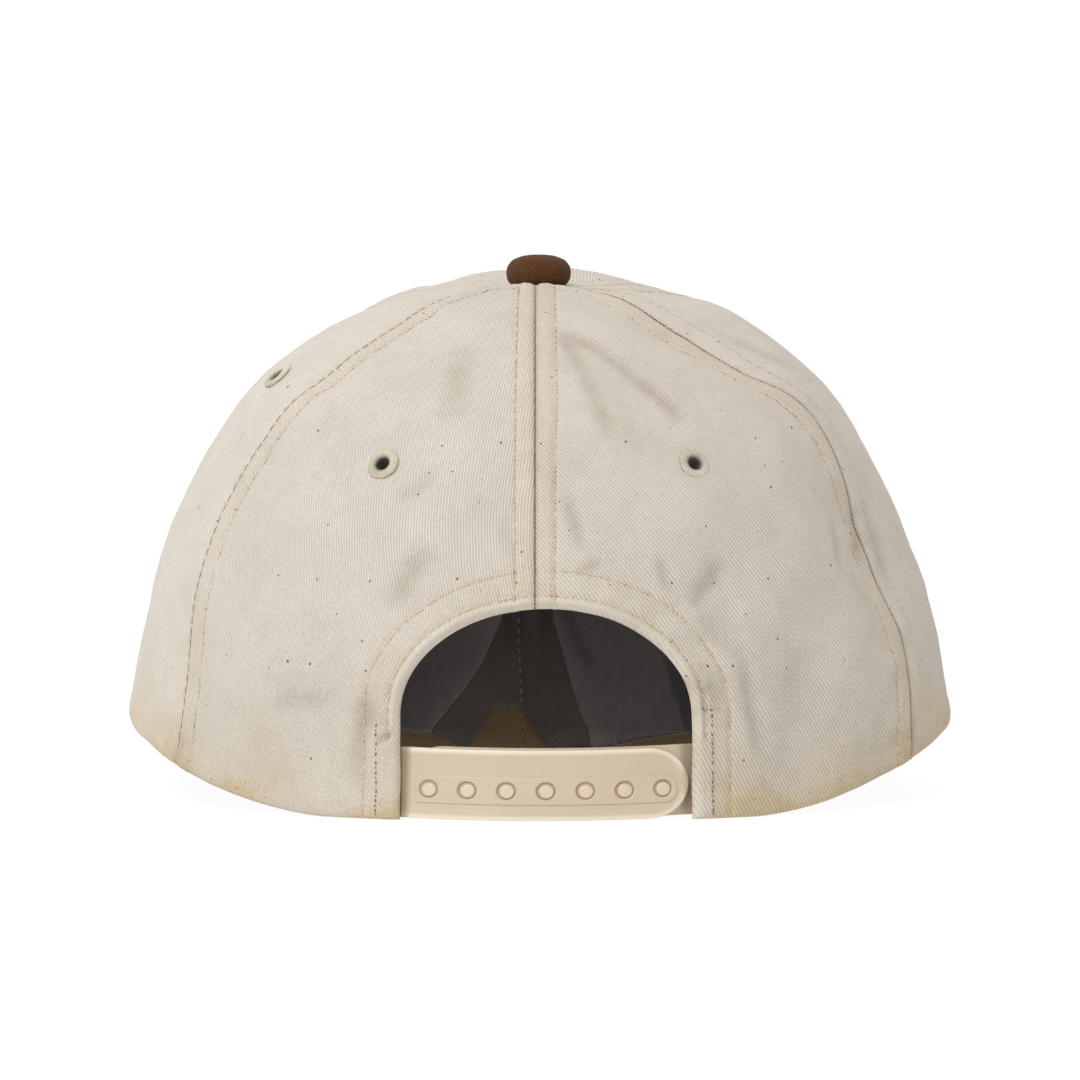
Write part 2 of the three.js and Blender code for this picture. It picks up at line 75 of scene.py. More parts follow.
def cos_deg(azimuth: Array) -> Array:
    """Cosine of an angle in degrees."""
    return np.cos(np.radians(azimuth))


def smooth_step(value: Array, low: float, high: float) -> Array:
    """0 below low, 1 above high, and smooth between them."""
    share = np.clip((value - low) / (high - low), 0, 1)
    return share * share * (3 - 2 * share)


def mixed(low: Array, high: Array, share: Array) -> Array:
    """The value a share of the way from low to high."""
    return low + (high - low) * share


def unit(vectors: Array) -> Array:
    """Vectors along the last axis at length 1."""
    return vectors / np.maximum(np.linalg.norm(vectors, axis=-1, keepdims=True), 1e-9)


def rolled(distance: Array, radius: float) -> Array:
    """How far a rounded edge of that radius has dropped at a distance from the edge."""
    inside = np.clip(radius - distance, 0, radius)
    return radius - np.sqrt(np.maximum(radius**2 - inside**2, 0))


def groove(distance: Array, width: float) -> Array:
    """A soft valley of depth 1 at distance 0."""
    return np.exp(-((distance / width) ** 2))


def plateau(distance: Array, start: float, end: float, ease: float) -> Array:
    """1 between start and end, falling to 0 over the ease on each side."""
    rising = smooth_step(distance, start - ease, start + ease)
    return rising * (1 - smooth_step(distance, end - ease, end + ease))


def runs(line: Array) -> Array:
    """Distance along a line at each of its points."""
    return np.concatenate([[0.0], np.cumsum(np.linalg.norm(np.diff(line, axis=0), axis=1))])


def read(line: Array, places: Array, distance: Array) -> Array:
    """The rows of a table at distances, from the distances of its rows."""
    return np.stack([np.interp(distance, places, column) for column in line.T], -1)


@dataclass(frozen=True)
class Ripples:
    """A smooth, repeatable unevenness of cloth: waves in random directions, about 1 high."""

    seed: int
    wavelength: float
    waves: int = 14

    def at(self, points: Array) -> Array:
        """Height of the waves.

        Args:
            points: places in millimetres, with the coordinates along the last axis.

        Returns:
            One height for each place.
        """
        random = np.random.default_rng(self.seed)
        ways = unit(random.normal(size=(self.waves, points.shape[-1])))
        lengths = self.wavelength * random.uniform(0.7, 1.5, self.waves)
        phases = random.uniform(0, TAU, self.waves)
        total = np.zeros(points.shape[:-1])
        for way, length, phase in zip(ways, lengths, phases):
            total += np.cos(points @ way * (TAU / length) + phase)
        return total / math.sqrt(self.waves / 2)


# The crown's surface


class Column(Enum):
    """Columns of the section table."""

    REACH = 0
    SIDE = 1
    BACK = 2
    FRONT = 3
    LEFT = 4
    RIGHT = 5


SECTIONS = np.array([
    [1.0, 0.0, 0.0, 0.0, 31.5, 151],
    [0.966, 0.18, 0.21, 0.22, 30.5, 154],
    [0.92, 0.364, 0.385, 0.44, 29, 153],
    [0.846, 0.549, 0.555, 0.645, 29, 152.5],
    [0.731, 0.732, 0.722, 0.818, 33, 150],
    [0.602, 0.849, 0.833, 0.934, 36.5, 143],
    [0.46, 0.926, 0.913, 1.017, 38.5, 138],
    [0.32, 0.97, 0.962, 1.043, 38, 135],
    [0.18, 0.992, 0.989, 1.021, 36.5, 134],
    [0.09, 0.998, 0.998, 1.003, 35, 134],
    [0.03, 1.0, 1.0, 1.0, 34, 134],
])


@dataclass(frozen=True)
class Fold:
    """A dent, or with a negative depth a ridge, between two points given as azimuth and height."""

    start: tuple[float, float]
    end: tuple[float, float]
    width: float
    depth: float


FOLDS = tuple(Fold(row[:2], row[2:4], *row[4:]) for row in (
    (152, 62, 153, 54, 11, 2.4), (178, 78, 180, 64, 15, 0.8), (132, 112.5, 144, 98, 11, 2.4),
    (38, 111.5, 36, 97, 10, 1.5), (99, 103, 112, 80, 7, 1.2), (113, 40, 123, 60, 7, 1.2),
    (129, 18, 136, 42, 8, 1.1), (84, 63, 73, 50, 7, 0.9), (194, 113, 188, 108, 9, -1.3),
))


class Seam(Enum):
    """Seams between the panels, clockwise seen from below, from the viewer's left at the back."""

    LEFT_BACK = 0
    BACK = 1
    RIGHT_BACK = 2
    RIGHT_FRONT = 3
    FRONT = 4
    LEFT_FRONT = 5


@dataclass(frozen=True)
class Crown:
    """The crown's outer face as a surface of azimuth and rise, 0 at the rim to 1 at the button."""

    half_width: float = 94.2
    half_length: float = 97.0
    seat_height: float = 114.8
    side_rim: float = 15.8
    wall: float = 1.4
    flat_azimuth: float = 60.0
    rim_ease: float = 1.42
    back_blend: float = 2.0
    front_blend: float = 1.6
    back_seam_offset: float = 1.1
    peak_lift: float = 3.72
    peak_arch: float = 2.5
    peak_half_width: float = 90.5
    horn_azimuth: float = -28.0

    def section(self, column: Column, rise: Array) -> Array:
        """A column of the section table, read along a smooth curve through its rows."""
        rows = len(SECTIONS)
        place = np.clip(np.asarray(rise, float), 0, 1) * (rows - 1)
        low = np.minimum(place.astype(int), rows - 2)
        share = place - low
        values = SECTIONS[:, column.value]
        before, start = values[np.maximum(low - 1, 0)], values[low]
        end, after = values[low + 1], values[np.minimum(low + 2, rows - 1)]
        leave, arrive = (end - before) / 2, (after - start) / 2
        cubic = (2 * start - 2 * end + leave + arrive) * share**3
        square = (-3 * start + 3 * end - 2 * leave - arrive) * share**2
        return cubic + square + leave * share + start

    def reach(self, rise: Array) -> Array:
        """Share of the rim's plan at a rise."""
        return self.section(Column.REACH, rise)

    def seam(self, seam: Seam, rise: Array) -> Array:
        """Azimuth of a seam at a rise."""
        if seam is Seam.LEFT_BACK:
            return self.section(Column.LEFT, rise)
        if seam is Seam.RIGHT_BACK:
            return self.section(Column.RIGHT, rise)
        if seam is Seam.BACK:
            return 90 - np.degrees(np.arcsin(self.back_seam_offset / (self.half_width * self.reach(rise))))
        fixed = {Seam.RIGHT_FRONT: 210.0, Seam.FRONT: 270.0, Seam.LEFT_FRONT: 330.0}[seam]
        return np.full(np.shape(rise), fixed)

    def plan(self, azimuth: Array) -> Array:
        """The rim's outline seen from above."""
        return np.stack([self.half_width * cos_deg(azimuth), self.half_length * sin_deg(azimuth)], -1)

    def peak_underside(self, x: Array) -> Array:
        """Height of the peak's underside, a shallow arch across its width."""
        return self.peak_arch * np.maximum(0, 1 - (x / self.peak_half_width) ** 2)

    def rim(self, azimuth: Array) -> Array:
        """Height of the rim: flat at the back, up at the sides, and on the peak at the front."""
        flat = math.cos(math.radians(self.flat_azimuth)) ** 2
        across = cos_deg(azimuth)
        back = self.side_rim * np.maximum(0, (across**2 - flat) / (1 - flat)) ** self.rim_ease
        horn = abs(math.cos(math.radians(self.horn_azimuth)))
        on_peak = self.peak_underside(self.half_width * across) + self.peak_lift
        front = mixed(on_peak, self.side_rim, smooth_step(np.abs(across), horn, 1))
        return np.where(sin_deg(azimuth) > 0, back, front)

    def smooth(self, azimuth: Array, rise: Array) -> Array:
        """Points of the crown before its dents.

        Args:
            azimuth: degrees from +X.
            rise: 0 at the rim to 1 at the button.

        Returns:
            Points in millimetres, with the coordinates along the last axis.
        """
        azimuth, rise = np.broadcast_arrays(np.asarray(azimuth, float), np.asarray(rise, float))
        sine = sin_deg(azimuth)
        side = self.section(Column.SIDE, rise)
        back_share = np.maximum(0, sine) ** self.back_blend
        front_share = np.maximum(0, -sine) ** self.front_blend
        lift = side + back_share * (self.section(Column.BACK, rise) - side)
        lift = lift + front_share * (self.section(Column.FRONT, rise) - side)
        rim, reach = self.rim(azimuth), self.reach(rise)
        x = self.half_width * reach * cos_deg(azimuth)
        y = self.half_length * reach * sine
        return np.stack([x, y, rim + (self.seat_height - rim) * lift], axis=-1)

    def normal(self, azimuth: Array, rise: Array) -> Array:
        """Outward normals of the crown before its dents."""
        step = 0.01
        low, high = np.maximum(0, np.asarray(rise) - step), np.minimum(1, np.asarray(rise) + step)
        across = self.smooth(np.asarray(azimuth) + 1, rise) - self.smooth(np.asarray(azimuth) - 1, rise)
        upward = self.smooth(azimuth, high) - self.smooth(azimuth, low)
        return unit(np.cross(across, upward))

    def fold_depth(self, points: Array) -> Array:
        """How far the dents and ridges push each point in."""
        return sum(fold.depth * groove(away, fold.width) for fold, _, away in along_folds(FOLDS, points))

    def point(self, azimuth: Array, rise: Array, depth: Array = 0.0) -> Array:
        """Points of the dented crown, pushed in from its outer face by a depth."""
        points = self.smooth(azimuth, rise)
        inward = np.asarray(depth) + self.fold_depth(points)
        return points - self.normal(azimuth, rise) * np.broadcast_to(inward, points.shape[:-1])[..., None]

    def rise_at(self, azimuth: Array, height: Array) -> Array:
        """The rise at which each meridian passes a height, found by halving."""
        azimuth, height = np.broadcast_arrays(np.asarray(azimuth, float), np.asarray(height, float))
        low, high = np.zeros(azimuth.shape), np.full(azimuth.shape, 0.6)
        for _ in range(22):
            middle = (low + high) / 2
            under = self.smooth(azimuth, middle)[..., 2] < height
            low, high = np.where(under, middle, low), np.where(under, high, middle)
        return (low + high) / 2

    def at_height(self, azimuth: float, height: float) -> Array:
        """The point of one meridian at a height."""
        return self.smooth(azimuth, self.rise_at(azimuth, height))

    def behind(self, x: Array, height: Array) -> Pair:
        """Azimuth and rise of the points of the back at a distance across and a height."""
        azimuth = np.degrees(np.arccos(np.clip(x / self.half_width, -1, 1)))
        for _ in range(8):
            rise = self.rise_at(azimuth, height)
            azimuth = np.degrees(np.arccos(np.clip(x / (self.half_width * self.reach(rise)), -1, 1)))
        return azimuth, self.rise_at(azimuth, height)


CROWN = Crown()


@lru_cache(maxsize=None)
def fold_ends(folds: tuple) -> tuple:
    """Each fold with its two end points."""
    return tuple((fold, CROWN.at_height(*fold.start), CROWN.at_height(*fold.end)) for fold in folds)


def along_folds(folds: tuple, points: Array) -> Iterator[tuple[Fold, Array, Array]]:
    """For each fold, how far along it and away from it each point lies."""
    for fold, start, end in fold_ends(folds):
        line = end - start
        share = np.clip((points - start) @ line / (line @ line), 0, 1)
        yield fold, share, np.linalg.norm(points - start - share[..., None] * line, axis=-1)


@dataclass(frozen=True)
class Arch:
    """The back opening: straight sides up to the spring line, then half an ellipse."""

    half_width: float = 31.8
    spring: float = 22.4
    rise: float = 23.0
    shift: float = -1.4

    def distance(self, points: Array) -> Array:
        """Distance of points outside the opening from its edge, seen from behind."""
        across = np.abs(points[..., 0] - self.shift)
        up = points[..., 2] - self.spring
        ratio = np.sqrt((across / self.half_width) ** 2 + (up / self.rise) ** 2)
        slope = np.sqrt((across / self.half_width**2) ** 2 + (up / self.rise**2) ** 2)
        slope = slope / np.maximum(ratio, 1e-6)
        return np.where(up > 0, (ratio - 1) / np.maximum(slope, 1e-6), across - self.half_width)

    def edge(self, side: int, count: int, offset: float = 0.0) -> Array:
        """The opening's edge, or a line at an offset outside it, on one side.

        Args:
            side: 1 for the side towards +X, -1 for the other.
            count: number of points.
            offset: distance outside the edge.

        Returns:
            Distances across and heights, one row a point, from the rim to above the middle.
        """
        turn = np.linspace(0, math.pi / 2, count)
        shift = self.shift * side
        seam = CROWN.back_seam_offset * side - shift
        stop = math.acos(min(1.0, seam / (self.half_width + offset)))
        turn = turn * stop / (math.pi / 2)
        half, rise = self.half_width + offset, self.rise + offset
        curve = np.stack([half * np.cos(turn), self.spring + rise * np.sin(turn)], -1)
        leg_heights = np.linspace(0, self.spring, max(4, count // 2), endpoint=False)
        leg = np.stack([np.full(len(leg_heights), half), leg_heights], -1)
        line = np.concatenate([leg, curve])
        line[:, 0] = (line[:, 0] + shift) * side
        return line


ARCH = Arch()


# Meshes


BUTTON_SHIFT = 0.3


def row_shift() -> Array:
    """Where the crown's own origin lies in the row frame, in millimetres."""
    low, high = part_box("button")
    return np.array([(low[0] + high[0]) / 2 / MM - BUTTON_SHIFT, (low[1] + high[1]) / 2 / MM, 0.0])


ROW_SHIFT = row_shift()


def deselect() -> None:
    """Leaves nothing selected, in object mode."""
    if bpy.context.object and bpy.context.object.mode != "OBJECT":
        bpy.ops.object.mode_set(mode="OBJECT")
    bpy.ops.object.select_all(action="DESELECT")


def activate(piece: Piece) -> None:
    """Selects one piece alone and makes it the active one."""
    deselect()
    piece.select_set(True)
    bpy.context.view_layer.objects.active = piece


def edit(piece: Piece) -> None:
    """Enters edit mode on one piece, with all of it selected."""
    activate(piece)
    bpy.ops.object.mode_set(mode="EDIT")
    bpy.ops.mesh.select_all(action="SELECT")


def leave_edit() -> None:
    """Goes back to object mode."""
    bpy.ops.object.mode_set(mode="OBJECT")


def pick(piece: Piece, kind: str, test: Callable) -> None:
    """Selects in edit mode what passes a test.

    Args:
        piece: the shape being modelled.
        kind: EDGE or FACE.
        test: takes the middle of an edge or face, and the edge's way or the face's normal.
    """
    edit(piece)
    bpy.ops.mesh.select_mode(type=kind)
    bpy.ops.mesh.select_all(action="DESELECT")
    leave_edit()
    corners = piece.data.vertices
    if kind == "EDGE":
        for edge in piece.data.edges:
            first, second = (corners[i].co for i in edge.vertices)
            edge.select = bool(test((first + second) / 2, second - first))
    else:
        for face in piece.data.polygons:
            face.select = bool(test(face.center, face.normal))
    bpy.ops.object.mode_set(mode="EDIT")


def linked(name: str, data: object) -> Piece:
    """An object with some data, in the scene."""
    piece = bpy.data.objects.new(name, data)
    bpy.context.scene.collection.objects.link(piece)
    return piece


def dropped(piece: Piece) -> None:
    """Removes a shape that was only a tool."""
    mesh = piece.data
    bpy.data.objects.remove(piece)
    bpy.data.meshes.remove(mesh)


def taken(piece: Piece) -> tuple[Array, list]:
    """The corners and faces of a modelled shape, which is then removed."""
    corners = np.array([vertex.co[:] for vertex in piece.data.vertices])
    faces = [list(face.vertices) for face in piece.data.polygons]
    dropped(piece)
    return corners, faces


def new_mesh(name: str, points: Array, faces: Sequence, uv: Optional[Array] = None, **fields: Array) -> Piece:
    """A mesh object at the origin.

    Args:
        name: the piece's name.
        points: corners in millimetres, in the crown's frame.
        faces: an array of quads, or lists of corner numbers.
        uv: for each corner its place on the flat cloth, in decimetres.
        **fields: named numbers for each corner, which the finish reads.

    Returns:
        The object, shaded smooth.
    """
    mesh = bpy.data.meshes.new(name)
    lists = faces.tolist() if isinstance(faces, np.ndarray) else faces
    mesh.from_pydata(((points + ROW_SHIFT) * MM).tolist(), [], lists)
    piece = linked(name, mesh)
    corners = np.empty(len(mesh.loops), dtype=np.int32)
    mesh.loops.foreach_get("vertex_index", corners)
    if uv is not None:
        layer = mesh.uv_layers.new(name="weave")
        layer.data.foreach_set("uv", uv[corners].astype(np.float32).ravel())
    for label, values in fields.items():
        attribute = mesh.attributes.new(label, "FLOAT", "POINT")
        attribute.data.foreach_set("value", values.astype(np.float32).ravel())
    mesh.polygons.foreach_set("use_smooth", np.ones(len(mesh.polygons), dtype=bool))
    mesh.update()
    return piece


def shell(outer: Array, inner: Array, keep: Optional[Array] = None) -> tuple[Array, Array, Array]:
    """A closed wall between two grids of points.

    Args:
        outer: rows by columns of points of the outer face.
        inner: the same for the inner face.
        keep: which cells of the grid are there, or None for all.

    Returns:
        The corners, quads that face outwards, and which points of the two grids the corners are.
    """
    rows, columns = outer.shape[:2]
    ids = np.arange(rows * columns).reshape(rows, columns)
    cells = np.stack([ids[:-1, :-1], ids[:-1, 1:], ids[1:, 1:], ids[1:, :-1]], axis=-1)
    quads = cells[np.ones(cells.shape[:2], bool) if keep is None else keep]
    row, column = rows // 2, columns // 2
    middle = outer[row, column]
    turn = np.cross(outer[row, column + 1] - middle, outer[row + 1, column] - middle)
    if turn @ (middle - inner[row, column]) < 0:
        quads = quads[:, ::-1]
    edges = np.stack([quads, np.roll(quads, -1, axis=1)], axis=-1).reshape(-1, 2)
    total = rows * columns
    codes, backs = edges[:, 0] * total + edges[:, 1], edges[:, 1] * total + edges[:, 0]
    open_edges = edges[~np.isin(codes, backs)]
    a, b = open_edges[:, 0], open_edges[:, 1]
    sides = np.stack([b, a, a + total, b + total], axis=-1)
    points = np.concatenate([outer.reshape(-1, 3), inner.reshape(-1, 3)])
    faces = np.concatenate([quads, quads[:, ::-1] + total, sides])
    used, place = np.unique(faces, return_inverse=True)
    return points[used], place.reshape(faces.shape), used


def walled(name: str, outer: Array, inner: Array, flat: Array, keep: Optional[Array] = None,
           **fields: Array) -> Piece:
    """A closed wall of cloth between two grids of points.

    Args:
        name: the piece's name.
        outer: rows by columns of points of the outer face.
        inner: the same for the inner face.
        flat: the grid's places on the flat cloth, in millimetres.
        keep: which cells of the grid are there, or None for all.
        **fields: named numbers for the grid, or one grid of them for each face.

    Returns:
        The object.
    """
    points, faces, used = shell(outer, inner, keep)
    grids = (2,) + outer.shape[:2]
    uv = np.broadcast_to(flat / 100, grids + (2,)).reshape(-1, 2)[used]
    values = {label: np.broadcast_to(value, grids).ravel()[used] for label, value in fields.items()}
    return new_mesh(name, points, faces, uv, **values)


def shares(length: float, step: float, fine: Sequence[float]) -> Array:
    """Rising shares from 0 to 1, close together near both ends.

    Args:
        length: what the shares divide, in millimetres.
        step: the wanted spacing in the middle.
        fine: the distances from each end of its first places.

    Returns:
        The shares.
    """
    near = np.array(fine) / length
    count = max(2, round((length - 2 * fine[-1]) / step))
    return np.concatenate([near[:-1], np.linspace(near[-1], 1 - near[-1], count + 1), 1 - near[-2::-1]])


FINE_EDGE = (0.0, 0.1, 0.25, 0.45, 0.7, 1.05, 1.5, 2.0)


# Finishes


def linear(red: float, green: float, blue: float) -> tuple[float, float, float, float]:
    """A colour given as 0 to 255 sRGB values, as the shader's linear colour."""
    def channel(value: float) -> float:
        """One channel in linear light."""
        share = value / 255
        return share / 12.92 if share <= 0.04045 else ((share + 0.055) / 1.055) ** 2.4

    return (channel(red), channel(green), channel(blue), 1.0)


def math_method(operation: str, swapped: bool = False) -> Callable:
    """A method of a term that joins it with a value in a Math node, swapped when the term comes second."""
    def method(self: "Term", other: object = 0.0) -> "Term":
        """The node's result."""
        first, second = (other, self) if swapped else (self, other)
        return self.graph.out("ShaderNodeMath", {"operation": operation}, {0: first, 1: second})

    return method


class Term:
    """A shader socket with arithmetic."""

    __add__, __radd__ = math_method("ADD"), math_method("ADD", True)
    __sub__, __rsub__ = math_method("SUBTRACT"), math_method("SUBTRACT", True)
    __mul__, __rmul__ = math_method("MULTIPLY"), math_method("MULTIPLY", True)
    __truediv__, power, sine = math_method("DIVIDE"), math_method("POWER"), math_method("SINE")
    above, below = math_method("GREATER_THAN"), math_method("LESS_THAN")
    least, most = math_method("MINIMUM"), math_method("MAXIMUM")

    def __init__(self, graph: "Nodes", socket: bpy.types.NodeSocket) -> None:
        """Wraps a socket of a graph."""
        self.graph = graph
        self.socket = socket

    def clamped(self) -> "Term":
        """The value held between 0 and 1."""
        return self.most(0.0).least(1.0)

    def step(self, low: float, high: float) -> "Term":
        """0 below low, 1 above high, and smooth between."""
        inputs = {"Value": self, "From Min": low, "From Max": high}
        return self.graph.out("ShaderNodeMapRange", {"interpolation_type": "SMOOTHSTEP"}, inputs, "Result")


class Nodes:
    """A node tree, with one method that makes its nodes."""

    def __init__(self, tree: bpy.types.NodeTree) -> None:
        """Wraps a tree."""
        self.tree = tree

    def plug(self, socket: bpy.types.NodeSocket, value: object) -> None:
        """Links a term to a socket, or sets the socket to a plain value."""
        if isinstance(value, Term):
            self.tree.links.new(value.socket, socket)
        else:
            socket.default_value = value

    def node(self, kind: str, settings: dict, inputs: dict) -> bpy.types.Node:
        """Makes a node.

        Args:
            kind: the node's type.
            settings: its properties.
            inputs: values or terms by socket name or number.

        Returns:
            The node.
        """
        node = self.tree.nodes.new(kind)
        for key, value in settings.items():
            setattr(node, key, value)
        for key, value in inputs.items():
            self.plug(node.inputs[key], value)
        return node

    def out(self, kind: str, settings: dict, inputs: dict, output: object = 0) -> Term:
        """Makes a node and gives one of its outputs."""
        return Term(self, self.node(kind, settings, inputs).outputs[output])

    def parts(self, vector: Term) -> tuple[Term, Term, Term]:
        """The three numbers of a vector."""
        node = self.node("ShaderNodeSeparateXYZ", {}, {0: vector})
        return tuple(Term(self, output) for output in node.outputs)

    def blend(self, share: object, first: object, second: object, kind: str = "MIX") -> Term:
        """Two colours mixed."""
        node = self.node("ShaderNodeMix", {"data_type": "RGBA", "blend_type": kind, "clamp_factor": True}, {})
        for socket, value in zip([s for s in node.inputs if s.enabled], (share, first, second)):
            self.plug(socket, value)
        return Term(self, next(s for s in node.outputs if s.enabled))


class Graph(Nodes):
    """A material's nodes."""

    def __init__(self, name: str) -> None:
        """Makes a material with a shader and its output."""
        self.material = bpy.data.materials.new(name)
        self.material.use_nodes = True
        super().__init__(self.material.node_tree)
        self.tree.nodes.clear()
        self.shader = self.node("ShaderNodeBsdfPrincipled", {}, {})
        output = self.node("ShaderNodeOutputMaterial", {}, {})
        self.tree.links.new(self.shader.outputs[0], output.inputs["Surface"])

    def cloth_place(self) -> Term:
        """The place on the flat cloth, in millimetres."""
        place = self.out("ShaderNodeUVMap", {"uv_map": "weave"}, {})
        return self.out("ShaderNodeVectorMath", {"operation": "SCALE"}, {0: place, "Scale": 100.0})

    def object_place(self) -> Term:
        """The place in the object, in millimetres."""
        place = self.out("ShaderNodeTexCoord", {}, {}, "Object")
        return self.out("ShaderNodeVectorMath", {"operation": "SCALE"}, {0: place, "Scale": 1000.0})

    def joined(self, x: object, y: object, z: object) -> Term:
        """A vector of three numbers."""
        return self.out("ShaderNodeCombineXYZ", {}, {0: x, 1: y, 2: z})

    def noise(self, place: Term, size: float, detail: float = 2.0, rough: float = 0.5) -> Term:
        """Cloudy noise, 0 to 1, with clouds of about that size in millimetres."""
        inputs = {"Vector": place, "Scale": 1 / size, "Detail": detail, "Roughness": rough}
        return self.out("ShaderNodeTexNoise", {"noise_dimensions": "3D"}, inputs)

    def field(self, name: str) -> Term:
        """A number that the mesh carries at its corners."""
        return self.out("ShaderNodeAttribute", {"attribute_name": name}, {}, "Fac")

    def bump(self, height: Term, depth: float, strength: float = 1.0) -> None:
        """Feeds the shader's normal from a height of 0 to 1, with its depth in millimetres."""
        inputs = {"Height": height, "Distance": depth * MM, "Strength": strength}
        self.feed(Normal=self.out("ShaderNodeBump", {}, inputs, "Normal"))

    def feed(self, **values: object) -> None:
        """Sets the shader's sockets, whose names have _ for a space."""
        for key, value in values.items():
            self.plug(self.shader.inputs[key.replace("_", " ")], value)

    def specks(self, place: Term, cell: float, share: float, radius: float) -> tuple[Term, Term]:
        """Scattered round specks.

        Args:
            place: where, in millimetres.
            cell: the size of the cells that may hold one speck.
            share: the share of the cells that have one.
            radius: of a middling speck.

        Returns:
            A mask of the specks and a random number for each.
        """
        inputs = {"Vector": place, "Scale": 1 / cell}
        node = self.node("ShaderNodeTexVoronoi", {"voronoi_dimensions": "2D"}, inputs)
        away = Term(self, node.outputs["Distance"]) * cell
        first, second, third = self.parts(Term(self, node.outputs["Color"]))
        size = (second.power(2.0) + 0.45) * radius
        return ((size - away) / (radius * 0.3)).clamped() * first.below(share), third


@dataclass(frozen=True)
class Finish:
    """What every finish has: its name, and the two colours that it lies between."""

    name: str
    colour: tuple
    shade: tuple


@dataclass(frozen=True)
class Twill(Finish):
    """Twill cloth: diagonal ribs, uneven yarn, and for natural cloth its specks, warmer edges and painted
    shade in its creases and seams.
    """

    pitch: float = 0.88
    lean: float = 26.0
    contrast: float = 0.62
    natural: bool = False
    warm: tuple = (1, 1, 1, 1)
    roughness: float = 0.9
    sheen: float = 0.12
    bump_depth: float = 0.11
    grain: float = 0.75
    grain_size: float = 0.75
    bend: float = 0.0

    def paint(self, graph: Graph) -> None:
        """Makes its nodes."""
        place = graph.cloth_place()
        across, along, _ = graph.parts(place)
        lean = math.radians(self.lean)
        drift = graph.noise(place, 9.0, 2.0) * 0.8 + graph.noise(place, 1.4, 1.0) * 0.2
        phase = across * (math.cos(lean) / self.pitch) + along * (math.sin(lean) / self.pitch) + drift
        if self.bend:
            low = (60.0 - along).most(0.0)
            phase = phase - low * low * (self.bend / self.pitch)
        wave = (phase * TAU).sine() * 0.5 + 0.5
        warp = graph.noise(graph.joined(across * 2.6, along * 0.22, 0.0), 1.0, 2.0)
        weft = graph.noise(graph.joined(across * 0.3, along * 2.2, 4.0), 1.0, 2.0)
        broken = graph.noise(place, self.grain_size, 2.0)
        rib = (wave * 0.82 + (broken - 0.5) * self.grain + 0.08).clamped()
        if self.natural:
            rib = rib + graph.field("plain") * (0.86 - rib)
        thread = (warp - 0.5) * 0.6 + (weft - 0.5) * 0.4
        shade = (rib * self.contrast + (1 - self.contrast) + thread * 0.45).clamped()
        colour = graph.blend(shade, self.shade, self.colour)
        if self.natural:
            colour = self._natural(graph, place, colour)
        rough = self.roughness - rib * 0.06
        graph.feed(Base_Color=colour, Roughness=rough, Sheen_Weight=self.sheen, Sheen_Roughness=0.5)
        graph.feed(Specular_IOR_Level=0.25)
        graph.bump((rib * 0.7 + (thread + 0.5) * 0.3).clamped(), self.bump_depth)

    def _natural(self, graph: Graph, place: Term, colour: Term) -> Term:
        """Adds the mottling, warmer edges, smudges and seed specks of undyed cotton, and painted shade in the
        creases and along the seams.
        """
        cloud = graph.noise(place, 22.0, 3.0, 0.55)
        mottle = graph.noise(place, 4.5, 3.0, 0.6)
        clouds = (cloud - 0.35) * 0.55 + (mottle - 0.5) * 0.3
        colour = graph.blend(clouds, colour, linear(203, 199, 194), "MULTIPLY")
        warmth = (graph.field("warmth") * (0.55 + mottle * 0.9)).clamped()
        colour = graph.blend(warmth, colour, self.warm, "MULTIPLY")
        soil, _ = graph.specks(place, 2.1, 0.55, 0.3)
        colour = graph.blend(soil * warmth.step(0.3, 0.75) * mottle * 1.3, colour, linear(166, 132, 100))
        # Painted shade: the cloth is darkened in its creases and beside its seams, where shade falls.
        hollow = graph.field("hollow") * (0.4 + mottle * 0.6)
        colour = graph.blend(hollow, colour, linear(216, 209, 203), "MULTIPLY")
        smudge = (graph.field("smudge") * (mottle * 2.4 - 0.55)).clamped()
        colour = graph.blend(smudge * 0.6, colour, linear(128, 120, 118))
        faint, tone = graph.specks(place, 3.0, 0.45, 0.2)
        pale = graph.blend(tone, linear(150, 120, 90), linear(120, 115, 110))
        colour = graph.blend(faint * 0.32, colour, pale)
        seeds, tone = graph.specks(place, 6.6, 0.4, 0.26)
        dark = graph.blend(tone.above(0.45), linear(62, 40, 34), linear(120, 62, 38))
        return graph.blend(seeds * 0.85, colour, dark)


@dataclass(frozen=True)
class Lining(Finish):
    """Smooth dark lining cloth with a faint fine weave and a little lint, lightened and darkened by painted
    light and shade from its tone.
    """

    def paint(self, graph: Graph) -> None:
        """Makes its nodes."""
        place = graph.cloth_place()
        across, along, _ = graph.parts(place)
        weave = (across * (TAU / 0.62)).sine() * (along * (TAU / 0.62)).sine()
        lines = (graph.field("lay") * (TAU / 0.95)).sine() * 0.5 + 0.5
        streak = graph.noise(graph.joined(across * 0.9, along * 0.12, 0.0), 1.0, 3.0)
        cloud = graph.noise(place, 16.0, 3.0)
        grain = graph.noise(place, 0.5, 2.0, 0.7)
        # Painted light and shade: the tone field lightens the lobes and darkens the pleats and sides.
        light = graph.field("tone") + (streak - 0.5) * 0.35 + (cloud - 0.5) * 0.3 + (grain - 0.5) * 0.5
        colour = graph.blend(light, self.colour, self.shade)
        colour = graph.blend((graph.field("ribbed") * lines).clamped() * 0.45, colour, linear(84, 70, 58))
        lint, tone = graph.specks(place, 4.2, 0.4, 0.17)
        colour = graph.blend(lint * (0.1 + tone * 0.3), colour, linear(130, 114, 100))
        graph.feed(Base_Color=colour, Roughness=0.72 - cloud * 0.1, Sheen_Weight=0.25, Sheen_Roughness=0.4)
        graph.feed(Specular_IOR_Level=0.3)
        graph.bump(weave * 0.25 + streak * 0.5 + 0.25, 0.06)


